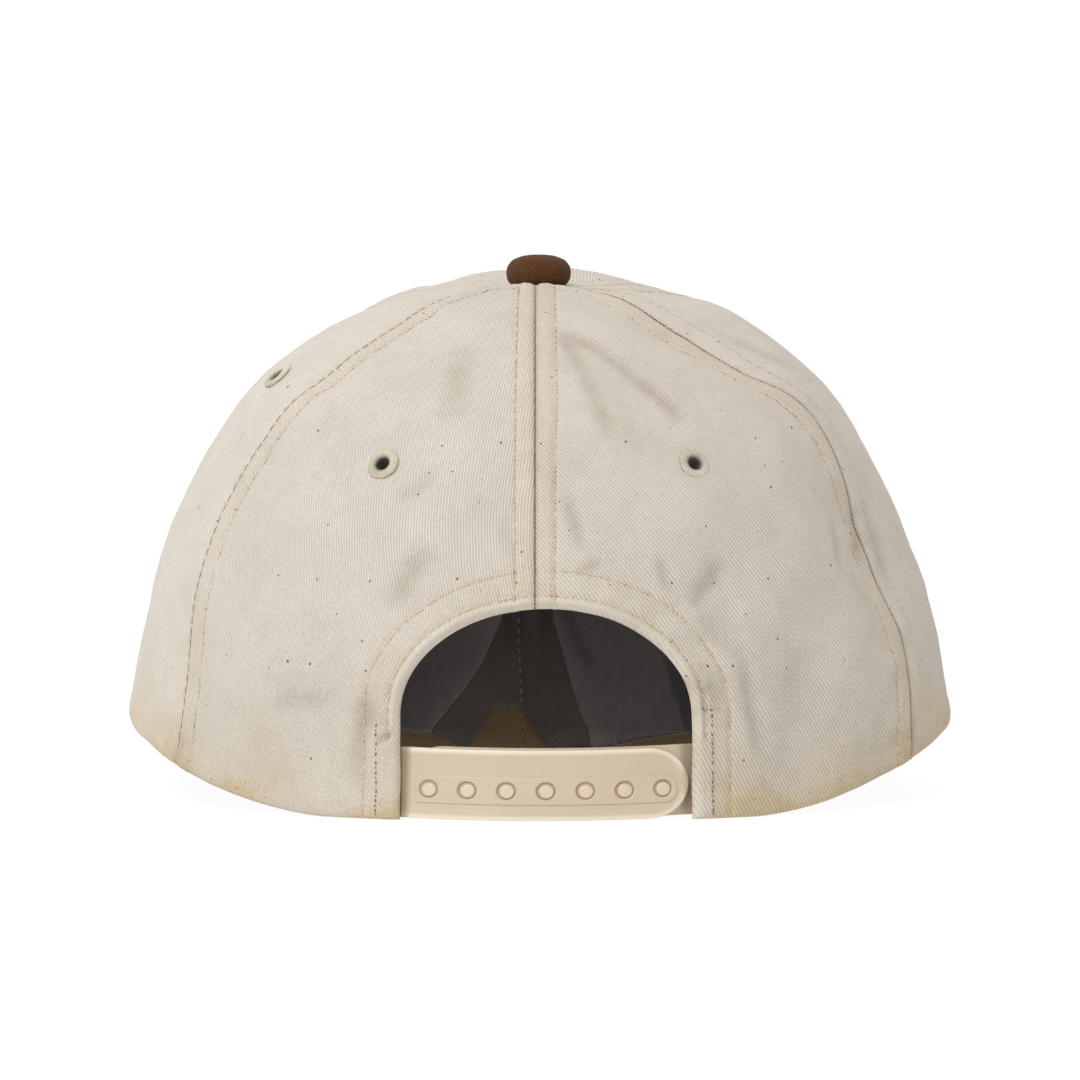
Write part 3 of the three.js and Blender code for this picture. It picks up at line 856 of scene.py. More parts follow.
@dataclass(frozen=True)
class Thread(Finish):
    """Sewing thread, twisted along its length."""

    roughness: float = 0.6

    def paint(self, graph: Graph) -> None:
        """Makes its nodes."""
        along, around, _ = graph.parts(graph.cloth_place())
        twist = ((along * 2.4 + around) * TAU).sine() * 0.5 + 0.5
        tone = graph.noise(graph.object_place(), 6.0, 2.0)
        colour = graph.blend(twist * 0.55 + (tone - 0.5) * 0.9 + 0.2, self.shade, self.colour)
        graph.feed(Base_Color=colour, Roughness=self.roughness, Sheen_Weight=0.1)
        graph.bump(twist, 0.05)


@dataclass(frozen=True)
class Embroidery(Finish):
    """Thread laid close together across a ring, with painted shade darkening it down in the hole."""

    def paint(self, graph: Graph) -> None:
        """Makes its nodes."""
        along, around, _ = graph.parts(graph.cloth_place())
        strand = (along * TAU).sine() * 0.5 + 0.5
        fuzz = graph.noise(graph.joined(along * 1.7, around * 0.8, 0.0), 1.0, 3.0)
        colour = graph.blend(strand * 0.6 + fuzz * 0.7 - 0.15, self.shade, self.colour)
        # Painted shade: the thread turns dark brown down in the hole.
        colour = graph.blend(graph.field("inside"), colour, linear(38, 29, 20))
        graph.feed(Base_Color=colour, Roughness=0.75, Sheen_Weight=0.15)
        graph.bump(strand * 0.7 + fuzz * 0.3, 0.07)


@dataclass(frozen=True)
class Plastic(Finish):
    """Moulded plastic, slightly waxy, with faint grain and a few dust specks, and with a painted highlight on
    the bead and pegs, painted shade in the peg holes and painted shadow where the straps go under the cloth.
    """

    roughness: float = 0.42

    def paint(self, graph: Graph) -> None:
        """Makes its nodes."""
        place = graph.object_place()
        grain = graph.noise(place, 0.5, 3.0, 0.6)
        cloud = graph.noise(place, 14.0, 2.0)
        colour = graph.blend((cloud - 0.4) * 0.9 + (grain - 0.5) * 0.35, self.colour, self.shade)
        across, _, height = graph.parts(place)
        dust, tone = graph.specks(graph.joined(across, height, 0.0), 3.4, 0.2, 0.13)
        colour = graph.blend(dust * (0.2 + tone * 0.3), colour, linear(96, 82, 66))
        # Painted highlight: the bead and peg heads are lightened where light catches them.
        colour = graph.blend(graph.field("rim") * 0.75, colour, linear(238, 228, 208))
        # Painted shade down in the peg holes.
        colour = graph.blend(graph.field("deep") * 0.85, colour, linear(188, 156, 112))
        # Painted shadow where the straps go under the cloth's edge.
        colour = graph.blend(graph.field("entry") * 0.9, colour, linear(128, 108, 80))
        graph.feed(Base_Color=colour, Roughness=self.roughness + (grain - 0.5) * 0.12, IOR=1.5)
        graph.feed(Subsurface_Weight=0.12, Subsurface_Scale=0.002, Specular_IOR_Level=0.45)
        graph.bump(grain, 0.02, 0.6)


@dataclass(frozen=True)
class Hole(Finish):
    """A dark disc painted as the shaded inside of a needle hole."""

    def paint(self, graph: Graph) -> None:
        """Makes its nodes."""
        tone = graph.noise(graph.object_place(), 3.0, 1.0)
        colour = graph.blend(tone * 1.1 - 0.3, self.colour, self.shade)
        graph.feed(Base_Color=colour, Roughness=1.0, Specular_IOR_Level=0.05)


def undyed(name: str, pitch: float, lean: float, contrast: float, bend: float = 0.0) -> Twill:
    """The natural twill as it lies on one panel, by its rib pitch and the ribs' lean and bend."""
    return Twill(name, linear(217, 212, 201), linear(177, 167, 158), pitch, lean, contrast, natural=True,
                 warm=linear(248, 233, 204), bend=bend)


NATURAL = undyed("natural_twill", 0.8, 28.0, 0.66)
NATURAL_LEFT = undyed("natural_twill_left", 0.65, 14.0, 0.84, 0.0036)
NATURAL_RIGHT = undyed("natural_twill_right", 0.82, 31.0, 0.78)
BROWN = Twill("brown_twill", linear(98, 64, 38), linear(48, 29, 16), contrast=0.7, sheen=0.2, roughness=0.85)
BAND_TWILL = Twill("band_twill", linear(92, 74, 47), linear(50, 38, 23), contrast=0.7, lean=-64,
                   pitch=0.6)
CHARCOAL = Lining("charcoal_lining", linear(31, 27, 27), linear(82, 73, 72))
DARK_STRIP = Lining("dark_lining", linear(25, 20, 17), linear(63, 52, 46))
SEAM_THREAD = Thread("seam_thread", linear(226, 206, 172), linear(196, 166, 126))
# Painted shade: a darker copy of the seam thread, for the stitches and yarn ends down in the seams.
SHADED_SEAM_THREAD = Thread("shaded_seam_thread", linear(212, 174, 124), linear(168, 126, 80))
# Painted shade: brown yarn ends that darken the right seam's groove.
FRINGE_THREAD = Thread("fringe_thread", linear(186, 148, 102), linear(120, 88, 54))
BROWN_THREAD = Thread("brown_thread", linear(126, 88, 52), linear(74, 48, 26))
DARK_THREAD = Thread("strap_thread", linear(160, 128, 92), linear(98, 72, 46))
FAINT_THREAD = Thread("faint_thread", linear(216, 206, 186), linear(192, 176, 150))
NEEDLE_HOLE = Hole("needle_hole", linear(84, 54, 34), linear(140, 104, 74))
DARK_HOLE = Hole("strap_needle_hole", linear(78, 50, 30), linear(140, 104, 74))
EYELET_THREAD = Embroidery("eyelet_thread", linear(228, 223, 206), linear(150, 144, 122))
STRAP_PLASTIC = Plastic("strap_plastic", linear(203, 189, 167), linear(191, 174, 150))


class Slot(Enum):
    """Names of material slots."""

    TWILL = "natural_twill"
    BROWN = "brown_twill"
    BAND = "band_twill"
    CHARCOAL = "charcoal_lining"
    DARK = "dark_lining"
    PLASTIC = "strap_plastic"
    EYELET = "eyelet_thread"


MATERIALS: dict[str, Material] = {}


def dress(piece: Piece, finishes: Sequence, nodes: Sequence[str] = ()) -> None:
    """Gives a piece its finishes and its body, and hides the CAD nodes that it stands for.

    Args:
        piece: the finished object.
        finishes: one finish for each material number of its faces.
        nodes: CAD nodes that the piece replaces.
    """
    piece.data.materials.clear()
    for finish in finishes:
        if finish.name not in MATERIALS:
            graph = Graph(finish.name)
            finish.paint(graph)
            MATERIALS[finish.name] = graph.material
        piece.data.materials.append(MATERIALS[finish.name])
    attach(piece, "root")
    if nodes:
        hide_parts(*nodes)
    log.info("%s: %d faces", piece.name, len(piece.data.polygons))


# Stitching


@dataclass(frozen=True)
class StitchStyle:
    """Sizes of one kind of stitch, in millimetres."""

    length: float = 2.0
    pitch: float = 2.62
    width: float = 0.36
    height: float = 0.34
    lift: float = 0.12
    hole_radius: float = 0.36
    hole_share: float = 0.7


TOPSTITCH = StitchStyle()
FINE_STITCH = StitchStyle(width=0.32, height=0.26, hole_radius=0.17, hole_share=0.35)
STRAP_STITCH = StitchStyle(length=0.8, pitch=2.05, width=0.42, height=0.36, hole_radius=0.27, hole_share=0.65)
FRINGE = StitchStyle(length=0.34, pitch=0.62, width=0.5, height=0.4, lift=0.0, hole_share=0.0)
FINE_FRINGE = StitchStyle(length=0.3, pitch=0.66, width=0.34, height=0.3, lift=0.0, hole_share=0.0)
BAND_STITCH = StitchStyle(length=1.9, pitch=2.5, width=0.4, height=0.34, hole_share=0.0)


def part_shape(cuts: int, sides: int, depth: float) -> tuple[Array, list]:
    """A small closed bar along X, modelled once and copied for each stitch or hole.

    Args:
        cuts: rings between its two ends.
        sides: faces round it.
        depth: how far its ends dip, as a share of its height.

    Returns:
        Its corners, 1 long and 1 across, and its faces.
    """
    deselect()
    bpy.ops.mesh.primitive_cylinder_add(vertices=sides, radius=0.5, depth=1.0, rotation=(0, math.pi / 2, 0))
    bar = bpy.context.object
    bpy.ops.object.transform_apply(location=False, rotation=True, scale=False)
    if cuts:
        pick(bar, "EDGE", lambda middle, way: abs(way.x) > 0.5)
        bpy.ops.mesh.subdivide(number_cuts=cuts)
        leave_edit()
    corners, faces = taken(bar)
    along = np.abs(corners[:, 0]) * 2
    slim = 1 - 0.4 * along[:, None] ** 2
    corners[:, 1:] *= slim
    corners[:, 2] -= depth * along**2
    return corners, faces


PIT_LIFT = 0.24
PIT_DEPTH = 0.16
FRINGE_TOP = 0.93


@dataclass(frozen=True)
class Path:
    """A line on a surface, with the surface's normals."""

    points: Array
    normals: Array

    def at(self, distance: Array) -> Pair:
        """Points and normals at distances along the line."""
        places = runs(self.points)
        return read(self.points, places, distance), unit(read(self.normals, places, distance))


def copies(shape: tuple[Array, list], origin: Array, forward: Array, normal: Array,
           sizes: Array) -> tuple[Array, Array, list]:
    """Copies of a small shape, one for each place.

    Args:
        shape: corners and faces of the shape.
        origin: the places.
        forward: the way that the shape's X takes at each place.
        normal: the way that its Z takes.
        sizes: length, width and height of each copy.

    Returns:
        All the corners, their places on the thread in decimetres, and all the faces.
    """
    corners, faces = shape
    forward = unit(forward)
    side = unit(np.cross(normal, forward))
    up = np.cross(forward, side)
    scaled = corners[None] * sizes[:, None, :]
    points = origin[:, None] + scaled[..., :1] * forward[:, None]
    points = points + scaled[..., 1:2] * side[:, None] + scaled[..., 2:] * up[:, None]
    turn = np.arctan2(corners[:, 2], corners[:, 1]) / TAU
    thread = np.stack([scaled[..., 0], np.broadcast_to(turn, scaled.shape[:2])], -1).reshape(-1, 2) / 100
    every = [[i + copy * len(corners) for i in face] for copy in range(len(origin)) for face in faces]
    return points.reshape(-1, 3), thread, every


@dataclass
class Stitching:
    """Rows of stitches on the cloth, with needle holes between them as dark discs of painted shade, as one
    piece.
    """

    name: str
    style: StitchStyle
    thread: Thread
    slot: Slot
    seed: int
    hole: Hole = NEEDLE_HOLE

    def build(self, paths: Sequence[Path]) -> Piece:
        """Sews along the paths.

        Args:
            paths: lines on the finished surface.

        Returns:
            The dressed piece.
        """
        random = np.random.default_rng(self.seed)
        style = self.style
        bar, pit = part_shape(3, 6, 0.55), part_shape(0, 6, 0.0)
        points, threads, faces, materials = [], [], [], []
        count = 0
        for path in paths:
            length = runs(path.points)[-1]
            starts = np.arange(0.3, length - style.length, style.pitch)
            starts = starts + random.uniform(-0.12, 0.12, len(starts))
            begin, normal = path.at(starts)
            end, _ = path.at(starts + style.length)
            side = unit(np.cross(normal, end - begin))
            slant = random.normal(0, 0.05, (len(starts), 1)) * side
            sizes = np.stack([
                np.linalg.norm(end - begin, axis=1) * random.uniform(0.94, 1.04, len(starts)),
                style.width * random.uniform(0.85, 1.15, len(starts)),
                style.height * random.uniform(0.85, 1.15, len(starts)),
            ], -1)
            middle = (begin + end) / 2 + normal * style.lift
            sewn = copies(bar, middle, end - begin + 2 * slant, normal, sizes)
            shown = random.random(len(starts)) < style.hole_share
            gap, up = path.at(starts - (style.pitch - style.length) / 2)
            radius = style.hole_radius * random.uniform(0.65, 1.3, len(starts))
            flat = np.stack([np.full(len(starts), PIT_DEPTH), radius * 2, radius * 2], -1)
            gap = gap + up * PIT_LIFT
            pits = copies(pit, gap[shown], up[shown], (end - begin)[shown], flat[shown])
            for (corners, thread, some), material in ((sewn, 0), (pits, 1)):
                points.append(corners)
                threads.append(thread)
                faces += [[i + count for i in face] for face in some]
                materials += [material] * len(some)
                count += len(corners)
        piece = new_mesh(self.name, np.concatenate(points), faces, np.concatenate(threads))
        piece.data.polygons.foreach_set("material_index", np.array(materials, dtype=np.int32))
        dress(piece, (self.thread, self.hole))
        return piece


# Cloth


@dataclass(frozen=True)
class Row:
    """A row of topstitching beside an edge: its distance from the edge at the rim and at the button."""

    low: float
    high: float

    def offset(self, share: Array) -> Array:
        """Its distance from the edge at a share of the way up."""
        return mixed(self.low, self.high, share)


SIDE_ROW = Row(6.0, 5.4)
EDGE_ROW = Row(0.62, 0.6)
BACK_ROW_LEFT = Row(5.0, 3.4)
BACK_ROW_RIGHT = Row(4.3, 4.1)
ARCH_ROWS = (2.5, 7.75)
LIP_HEIGHTS = (15.5, 18.5)
SEAM_GAP = 0.1
EYELET_CUT = 2.45
CELL_SIDES = (slice(0, -1), slice(1, None))

SOFT = Ripples(3, 46.0)
MIDDLING = Ripples(5, 17.0)
SMALL = Ripples(8, 6.0)


@dataclass(frozen=True)
class Smudge:
    """A soiled place on the natural twill."""

    azimuth: float
    height: float
    radius: float
    strength: float


SMUDGES = (
    Smudge(54, 26, 9, 0.2),
    Smudge(31, 9, 7, 0.5),
    Smudge(113, 27, 5, 0.8),
    Smudge(152, 58, 6, 0.5),
    Smudge(150, 9, 9, 0.5),
    Smudge(66, 22, 3.5, 0.6),
    Smudge(122, 6, 8, 0.35),
)


CREASES = tuple(Fold(row[:2], row[2:4], *row[4:]) for row in (
    (70.9, 102.6, 73.3, 85.6, 3.2, 0.4), (73.5, 58.5, 67.5, 45, 2.8, 0.45),
    (96.8, 107.4, 103.2, 81.5, 2.3, 0.8), (98.3, 107.4, 118.6, 85, 2.4, 0.95),
    (94.5, 70, 96.6, 57.5, 1.6, 0.4), (99.6, 55, 95, 52.5, 1.3, 0.35),
    (108, 57, 109.2, 47.5, 1.7, 0.3), (119.6, 55.5, 112.6, 45, 2.6, 0.45),
    (119.6, 37, 121.2, 11, 2.2, 0.45), (65.3, 29, 65.2, 6, 2.2, 0.4), (50, 24.2, 61.5, 24.8, 2.4, 0.3),
    (113.5, 44.4, 119.3, 34.5, 2.4, 0.3), (72.6, 73.5, 66.4, 67, 2.4, 0.3),
    (153.6, 66.5, 149.8, 52.5, 3, 0.35), (84.4, 65, 86, 54, 1.8, 0.25), (125, 22, 131, 36, 3.2, 0.2),
    (128, 111, 152.6, 108.8, 2.4, 0.12), (149.5, 104.6, 159.5, 94.6, 2.6, 0.35),
    (157, 67.7, 157, 46.5, 3.2, 0.4), (144.4, 64.5, 142.6, 51.8, 1.7, 0.3),
    (143.7, 50.7, 148.8, 42.2, 2.2, 0.25), (70.4, 18.6, 67.4, 16, 0.9, 0.5),
))

CREASE_GAIN = 2.2
SHOULDERS = 0.45


def creased(points: Array, shoulders: float = SHOULDERS) -> Array:
    """How far the small creases push each point in: a valley between two low shoulders, ending softly."""
    total = np.zeros(points.shape[:-1])
    for crease, share, away in along_folds(CREASES, points):
        valley = groove(away, crease.width) - shoulders * groove(away, crease.width * 2.0)
        total += crease.depth * np.sin(math.pi * share) ** 0.6 * valley
    return total


def unevenness(points: Array) -> Array:
    """How far the cloth's own waves and creases push each point in."""
    waves = 0.3 * SOFT.at(points) + 0.13 * MIDDLING.at(points) + 0.035 * SMALL.at(points)
    return CREASE_GAIN * creased(points) + waves


@dataclass
class Panel:
    """One sewn panel of the crown."""

    kind: str
    side: str
    start: Seam
    end: Seam
    start_row: Row
    end_row: Row
    eyelet: tuple[float, float]
    turn: float = 0.0
    arch_side: int = 0
    step: float = 0.66
    finish: Twill = NATURAL
    seam_shade: float = 0.25

    def __post_init__(self) -> None:
        """Works out the flat pattern: distances across and along the cloth for each rise."""
        self.rises = np.linspace(0, 1, 400)
        first = CROWN.seam(self.start, self.rises) - self.turn
        last = CROWN.seam(self.end, self.rises)
        self.centre = (first + last) / 2
        self.along = runs(CROWN.smooth(self.centre, self.rises))
        self.spread = (CROWN.half_width + CROWN.half_length) / 2 * CROWN.reach(self.rises)
        self.half = np.radians(last - first) / 2 * self.spread
        slope = np.gradient(self.half, self.along)
        self.cosine = 1 / np.sqrt(1 + slope**2)

    @property
    def length(self) -> float:
        """Length of the cloth from the rim to the button."""
        return float(self.along[-1])

    def flattened(self, azimuth: Array, rise: Array) -> Pair:
        """Places of the crown as distances across and along the flat cloth."""
        spread = np.interp(rise, self.rises, self.spread)
        across = np.radians(azimuth - np.interp(rise, self.rises, self.centre)) * spread
        return across, np.interp(rise, self.rises, self.along)

    def placed(self, across: Array, along: Array) -> Pair:
        """Azimuth and rise of places on the flat cloth."""
        rise = np.interp(along, self.along, self.rises)
        spread = np.interp(rise, self.rises, self.spread)
        return np.interp(rise, self.rises, self.centre) + np.degrees(across / spread), rise

    def width_at(self, along: Array) -> Pair:
        """Half of the cloth's width at places along it, and the cosine of its seams' slope there."""
        return np.interp(along, self.along, self.half), np.interp(along, self.along, self.cosine)

    def edges(self, across: Array, along: Array) -> Pair:
        """Distances from the start seam and the end seam."""
        half, cosine = self.width_at(along)
        return (across + half) * cosine, (half - across) * cosine

    def relief(self, across: Array, along: Array, points: Array) -> Array:
        """How far the outer face is pushed in by its edges, stitch rows and waves."""
        depth = unevenness(points)
        share = along / self.length
        pucker = Ripples(21, 9.0, 8).at(along[..., None])
        ripple = np.sin(along * (TAU / TOPSTITCH.pitch))
        for distance, row in zip(self.edges(across, along), (self.start_row, self.end_row)):
            offset = row.offset(share)
            away = distance - offset
            if row.low > 1:
                depth = depth + rolled(distance, 0.6) + 0.18 * groove(away, 0.5)
                depth = depth - 0.26 * plateau(distance, 0.7, offset - 0.7, 0.5)
            else:
                depth = depth + rolled(distance, 0.45) + 0.1 * groove(away, 0.5)
                depth = depth + 0.35 * groove(distance, 1.5)
            depth = depth + 0.12 * pucker * groove(away, 3.2) + 0.05 * ripple * groove(away, 1.0)
        depth = depth + rolled(along, 0.9) - 0.2 * plateau(along, 1.0, 5.0, 0.9)
        if self.arch_side:
            away = ARCH.distance(points)
            above = smooth_step(points[..., 2], *LIP_HEIGHTS)
            turn = np.arctan2(points[..., 2] - ARCH.spring, np.abs(points[..., 0] - ARCH.shift))
            run = turn * ARCH.half_width
            folds = Ripples(33, 11.0, 8).at(run[..., None])
            stitch = np.sin(run * (TAU / TOPSTITCH.pitch))
            depth = depth + rolled(away, 1.5)
            depth = depth - above * 0.55 * plateau(away, 0.8, 1.7, 0.6) - 0.12 * plateau(away, 3.2, 7.0, 0.8)
            depth = depth - (1 - above) * 0.3 * plateau(away, 0.9, 4.0, 1.0)
            depth = depth + (0.3 + 0.05 * stitch) * above * groove(away - ARCH_ROWS[0], 0.5)
            depth = depth + (0.28 + 0.05 * stitch) * groove(away - ARCH_ROWS[1], 0.55)
            depth = depth + 0.1 * folds * plateau(away, 2.0, 11.0, 3.0)
        return depth

    def face(self, across: Array, along: Array, inside: bool = False) -> Array:
        """Points of the finished outer face, or of the inner one."""
        azimuth, rise = self.placed(across, along)
        plain = CROWN.smooth(azimuth, rise)
        depth = CROWN.wall + 0.7 * unevenness(plain) if inside else self.relief(across, along, plain)
        points = CROWN.point(azimuth, rise, depth)
        points[..., 2] = np.maximum(points[..., 2], CROWN.rim(azimuth))
        return points

    def plain_grid(self) -> Pair:
        """Places of a grid on a panel without the back opening: rows up, columns across."""
        rows = shares(self.length, self.step, FINE_EDGE) * self.length
        columns = shares(2 * float(self.half.max()), self.step, FINE_EDGE)
        half, cosine = self.width_at(rows)
        reach = np.maximum(half - SEAM_GAP / cosine, 0.3)
        across = reach[:, None] * (2 * columns[None] - 1)
        return across, np.broadcast_to(rows[:, None], across.shape)

    def arch_grid(self) -> Pair:
        """Places of a grid on a back panel, between the rim, side seam, back seam and opening."""
        edge = ARCH.edge(self.arch_side, 240)
        opening = np.stack(self.flattened(*CROWN.behind(edge[:, 0], edge[:, 1])), -1)
        outward = -1 if self.start is not Seam.BACK else 1
        seam_line = np.stack([self.half - SEAM_GAP / self.cosine, self.along], -1)
        side = seam_line * (outward, 1)
        back = seam_line * (-outward, 1)
        top = np.array([0.0, self.length])
        side[-1] = back[-1] = top
        opening[-1, 0] = np.interp(opening[-1, 1], back[:, 1], back[:, 0])
        back = np.concatenate([opening[-1:], back[back[:, 1] > opening[-1, 1] + 0.2]])
        rim = np.array([opening[0], side[0]])

        def spread(line: Array, share: Array) -> Array:
            """Points at shares of a line's length."""
            places = runs(line)
            return read(line, places, share * places[-1])

        across = shares(72.0, self.step * 0.8, FINE_EDGE)
        up = shares(95.0, self.step * 0.8, FINE_EDGE)
        s, t = across[None, :, None], up[:, None, None]
        low, high = spread(rim, across)[None], spread(back, across)[None]
        left, right = spread(opening, up)[:, None], spread(side, up)[:, None]
        corners = (1 - s) * (1 - t) * rim[0] + s * (1 - t) * rim[1] + (1 - s) * t * opening[-1] + s * t * top
        grid = (1 - t) * low + t * high + (1 - s) * left + s * right - corners
        return grid[..., 0], grid[..., 1]

    def punched(self, across: Array, along: Array) -> tuple[Array, Array, Array]:
        """Opens the eyelet's hole in a grid.

        Args:
            across: places across the cloth.
            along: places along it.

        Returns:
            The places with the hole's edge made round, and which cells stay.
        """
        azimuth, height = self.eyelet
        spot = self.flattened(azimuth, CROWN.rise_at(azimuth, height))
        dx, dy = across - spot[0], along - spot[1]
        cells = [(rows, columns) for rows in CELL_SIDES for columns in CELL_SIDES]
        middle_x, middle_y = (sum(part[cell] for cell in cells) / 4 for part in (dx, dy))
        keep = np.hypot(middle_x, middle_y) > EYELET_CUT
        gone, stays = np.zeros(across.shape, bool), np.zeros(across.shape, bool)
        for cell in cells:
            gone[cell] |= ~keep
            stays[cell] |= keep
        border = gone & stays
        reach = np.hypot(dx, dy)
        factor = np.where(border, EYELET_CUT / np.maximum(reach, 0.1), 1.0)
        return spot[0] + dx * factor, spot[1] + dy * factor, keep

    def warmth(self, across: Array, along: Array, points: Array) -> Array:
        """How yellowed the cloth is: most along the rim, the seams and the opening."""
        first, last = self.edges(across, along)
        uneven = 1 + 0.35 * Ripples(41, 20.0).at(points)
        total = 0.8 * np.exp(-along / 4.5) + 0.25 * np.exp(-along / 16.0)
        share = along / self.length
        for distance, row in ((first, self.start_row), (last, self.end_row)):
            inside = 1 - smooth_step(distance, row.offset(share) - 0.8, row.offset(share) + 0.4)
            total = total + (0.04 + 0.22 * self.seam_shade) * inside * (1 - smooth_step(share, 0.7, 1.0))
        if self.arch_side:
            away = ARCH.distance(points)
            total = total + 0.1 * (1 - smooth_step(away, 6.0, 10.5)) + 0.1 * np.exp(-away / 1.5)
        return np.clip(total * uneven, 0, 1.2)

    def build(self) -> Piece:
        """Makes and dresses the panel."""
        across, along = self.arch_grid() if self.arch_side else self.plain_grid()
        across, along, keep = self.punched(across, along)
        outer, inner = self.face(across, along), self.face(across, along, inside=True)
        warmth = self.warmth(across, along, outer)
        smudge, plain = np.zeros(warmth.shape), np.zeros(warmth.shape)
        for mark in SMUDGES:
            away = np.linalg.norm(outer - CROWN.at_height(mark.azimuth, mark.height), axis=-1)
            smudge += mark.strength * groove(away, mark.radius)
        # Painted shade for the finish: darker in the creases and beside the seams, most beside the seams of
        # the shaded right-hand panels.
        beside = groove(np.minimum(*self.edges(across, along)), 0.8)
        dents = creased(CROWN.smooth(*self.placed(across, along)), 0.0) / 0.6
        hollow = np.clip(dents + self.seam_shade * beside, 0, 1)
        if self.arch_side:
            above = smooth_step(outer[..., 2], *LIP_HEIGHTS)
            plain = (1 - smooth_step(ARCH.distance(outer), 1.7, 2.3)) * mixed(0.2, 0.5, above)
        piece = walled(
            f"{self.kind}_{self.side}_twill", outer, inner, np.stack([across, along], -1), keep, plain=plain,
            hollow=hollow, warmth=np.stack([warmth, warmth * 0]), smudge=np.stack([smudge, smudge * 0]))
        dress(piece, (self.finish,), (f"{self.kind}_panel_{self.side}",))
        return piece

    def seam_path(self, at_start: bool, low: float = 0.6, high: float = 0.0,
                  row: Optional[Row] = None) -> Path:
        """The line of the topstitching beside one seam.

        Args:
            at_start: whether it is the start seam's row.
            low: where it starts, along the cloth from the rim.
            high: how far from the button's seat it ends.
            row: another row than the panel's own.

        Returns:
            The line on the outer face.
        """
        along = np.linspace(low, self.length - high, 700)
        row = row or (self.start_row if at_start else self.end_row)
        half, cosine = self.width_at(along)
        inset = half - row.offset(along / self.length) / cosine
        across = -inset if at_start else inset
        azimuth, rise = self.placed(across, along)
        return Path(self.face(across, along), CROWN.normal(azimuth, rise))

    def arch_path(self, offset: float, low: float, high: float = 99.0) -> Path:
        """A line round the back opening on this panel.

        Args:
            offset: its distance from the opening's edge.
            low: the height where it starts.
            high: the height where it ends.

        Returns:
            The line on the outer face.
        """
        inner, outer = ARCH.edge(self.arch_side, 500, 0.0), ARCH.edge(self.arch_side, 500, 10.0)
        edge = mixed(inner, outer, offset / 10.0)
        edge = edge[(edge[:, 1] > low) & (edge[:, 1] < high)]
        azimuth, rise = CROWN.behind(edge[:, 0], edge[:, 1])
        across, along = self.flattened(azimuth, rise)
        return Path(self.face(across, along), CROWN.normal(azimuth, rise))


def lathe(profile: Sequence[tuple[float, float]], steps: int) -> tuple[Array, list]:
    """A closed profile spun about Z.

    Args:
        profile: corners of the profile as radius and height, in millimetres.
        steps: copies round the full turn.

    Returns:
        The corners and the faces, facing outwards.
    """
    deselect()
    bpy.ops.mesh.primitive_circle_add(vertices=len(profile), radius=1.0, fill_type="NOTHING")
    ring = bpy.context.object
    for vertex, (radius, height) in zip(ring.data.vertices, profile):
        vertex.co = (radius, 0.0, height)
    edit(ring)
    bpy.ops.mesh.spin(steps=steps, angle=TAU, center=(0, 0, 0), axis=(0, 0, 1))
    bpy.ops.mesh.select_all(action="SELECT")
    bpy.ops.mesh.remove_doubles(threshold=0.002)
    bpy.ops.mesh.normals_make_consistent(inside=False)
    leave_edit()
    return taken(ring)


@dataclass
class Eyelets:
    """Embroidered eyelets: thread laid over a ring and down through the panel."""

    wraps: int = 44
    steps: int = 176
    tube: float = 1.0
    middle: float = 2.62
    flatness: float = 0.55
    seat: float = 0.25
    barrel: float = 1.85
    foot: float = -3.6
    throat: float = 0.95

    def profile(self) -> list[tuple[float, float]]:
        """The ring's section as radius and height: a flattened tube with a barrel below its inner side."""
        turns = np.linspace(math.radians(-20), math.radians(200), 13)
        top = [(self.middle + self.tube * math.cos(t), self.seat + self.flatness * math.sin(t))
               for t in turns]
        inside = [(self.barrel - 0.05, -0.45), (self.throat, self.foot), (self.barrel + 0.6, self.foot)]
        return top + inside + [(self.barrel + 0.65, -0.3)]

    def build(self, panel: Panel, seed: int) -> Piece:
        """Makes one eyelet.

        Args:
            panel: the panel that it pierces.
            seed: of its unevenness.

        Returns:
            The dressed piece.
        """
        node = f"eyelet_{panel.kind}_{panel.side}"
        corners, faces = lathe(self.profile(), self.steps)
        turn = np.arctan2(corners[:, 1], corners[:, 0])
        radius = np.hypot(corners[:, 0], corners[:, 1])
        away = np.stack([radius - self.middle, corners[:, 2] - self.seat], -1)
        around = np.arctan2(away[:, 1], away[:, 0])
        random = np.random.default_rng(seed)
        uneven = sum(random.normal(0, 0.5) * np.cos(k * turn + random.uniform(0, TAU)) for k in range(2, 9))
        ridge = np.abs(np.sin(turn * self.wraps / 2 + 0.3 * np.sin(around))) - 0.5
        swell = 0.2 * ridge + 0.035 * uneven * (away[:, 0] > 0)
        swell *= smooth_step(corners[:, 2], -0.6, 0.1)
        length = np.maximum(np.linalg.norm(away, axis=1), 1e-6)
        radius = radius + swell * away[:, 0] / length
        lifted = corners[:, 2] + swell * away[:, 1] / length
        azimuth, height = panel.eyelet
        rise = CROWN.rise_at(azimuth, height)
        base = CROWN.point(azimuth, rise, unevenness(CROWN.smooth(azimuth, rise)))
        up = CROWN.normal(azimuth, rise)
        side = unit(np.cross(np.array([0.0, 0.0, 1.0]), up))
        out = np.cross(up, side)
        flat_x, flat_y = radius * np.cos(turn), radius * np.sin(turn)
        sag = (flat_x**2 + flat_y**2) / (2 * CROWN.half_width)
        points = base + flat_x[:, None] * side + flat_y[:, None] * out + (lifted - sag - 0.08)[:, None] * up
        thread = np.stack([turn / TAU * self.wraps, around / TAU * 3], -1) / 100
        # Painted shade: the barrel inside the hole is dark, and the ring darkens on its slope down to the
        # hole.
        inside = (1 - smooth_step(corners[:, 2], -0.75, 0.15)) * (radius < 2.3)
        inside = np.maximum(inside, 0.35 * (1 - smooth_step(radius, 1.75, 2.25)))
        piece = new_mesh(f"{node}_embroidery", points, faces, thread, inside=inside)
        dress(piece, (EYELET_THREAD,), (node,))
        return piece


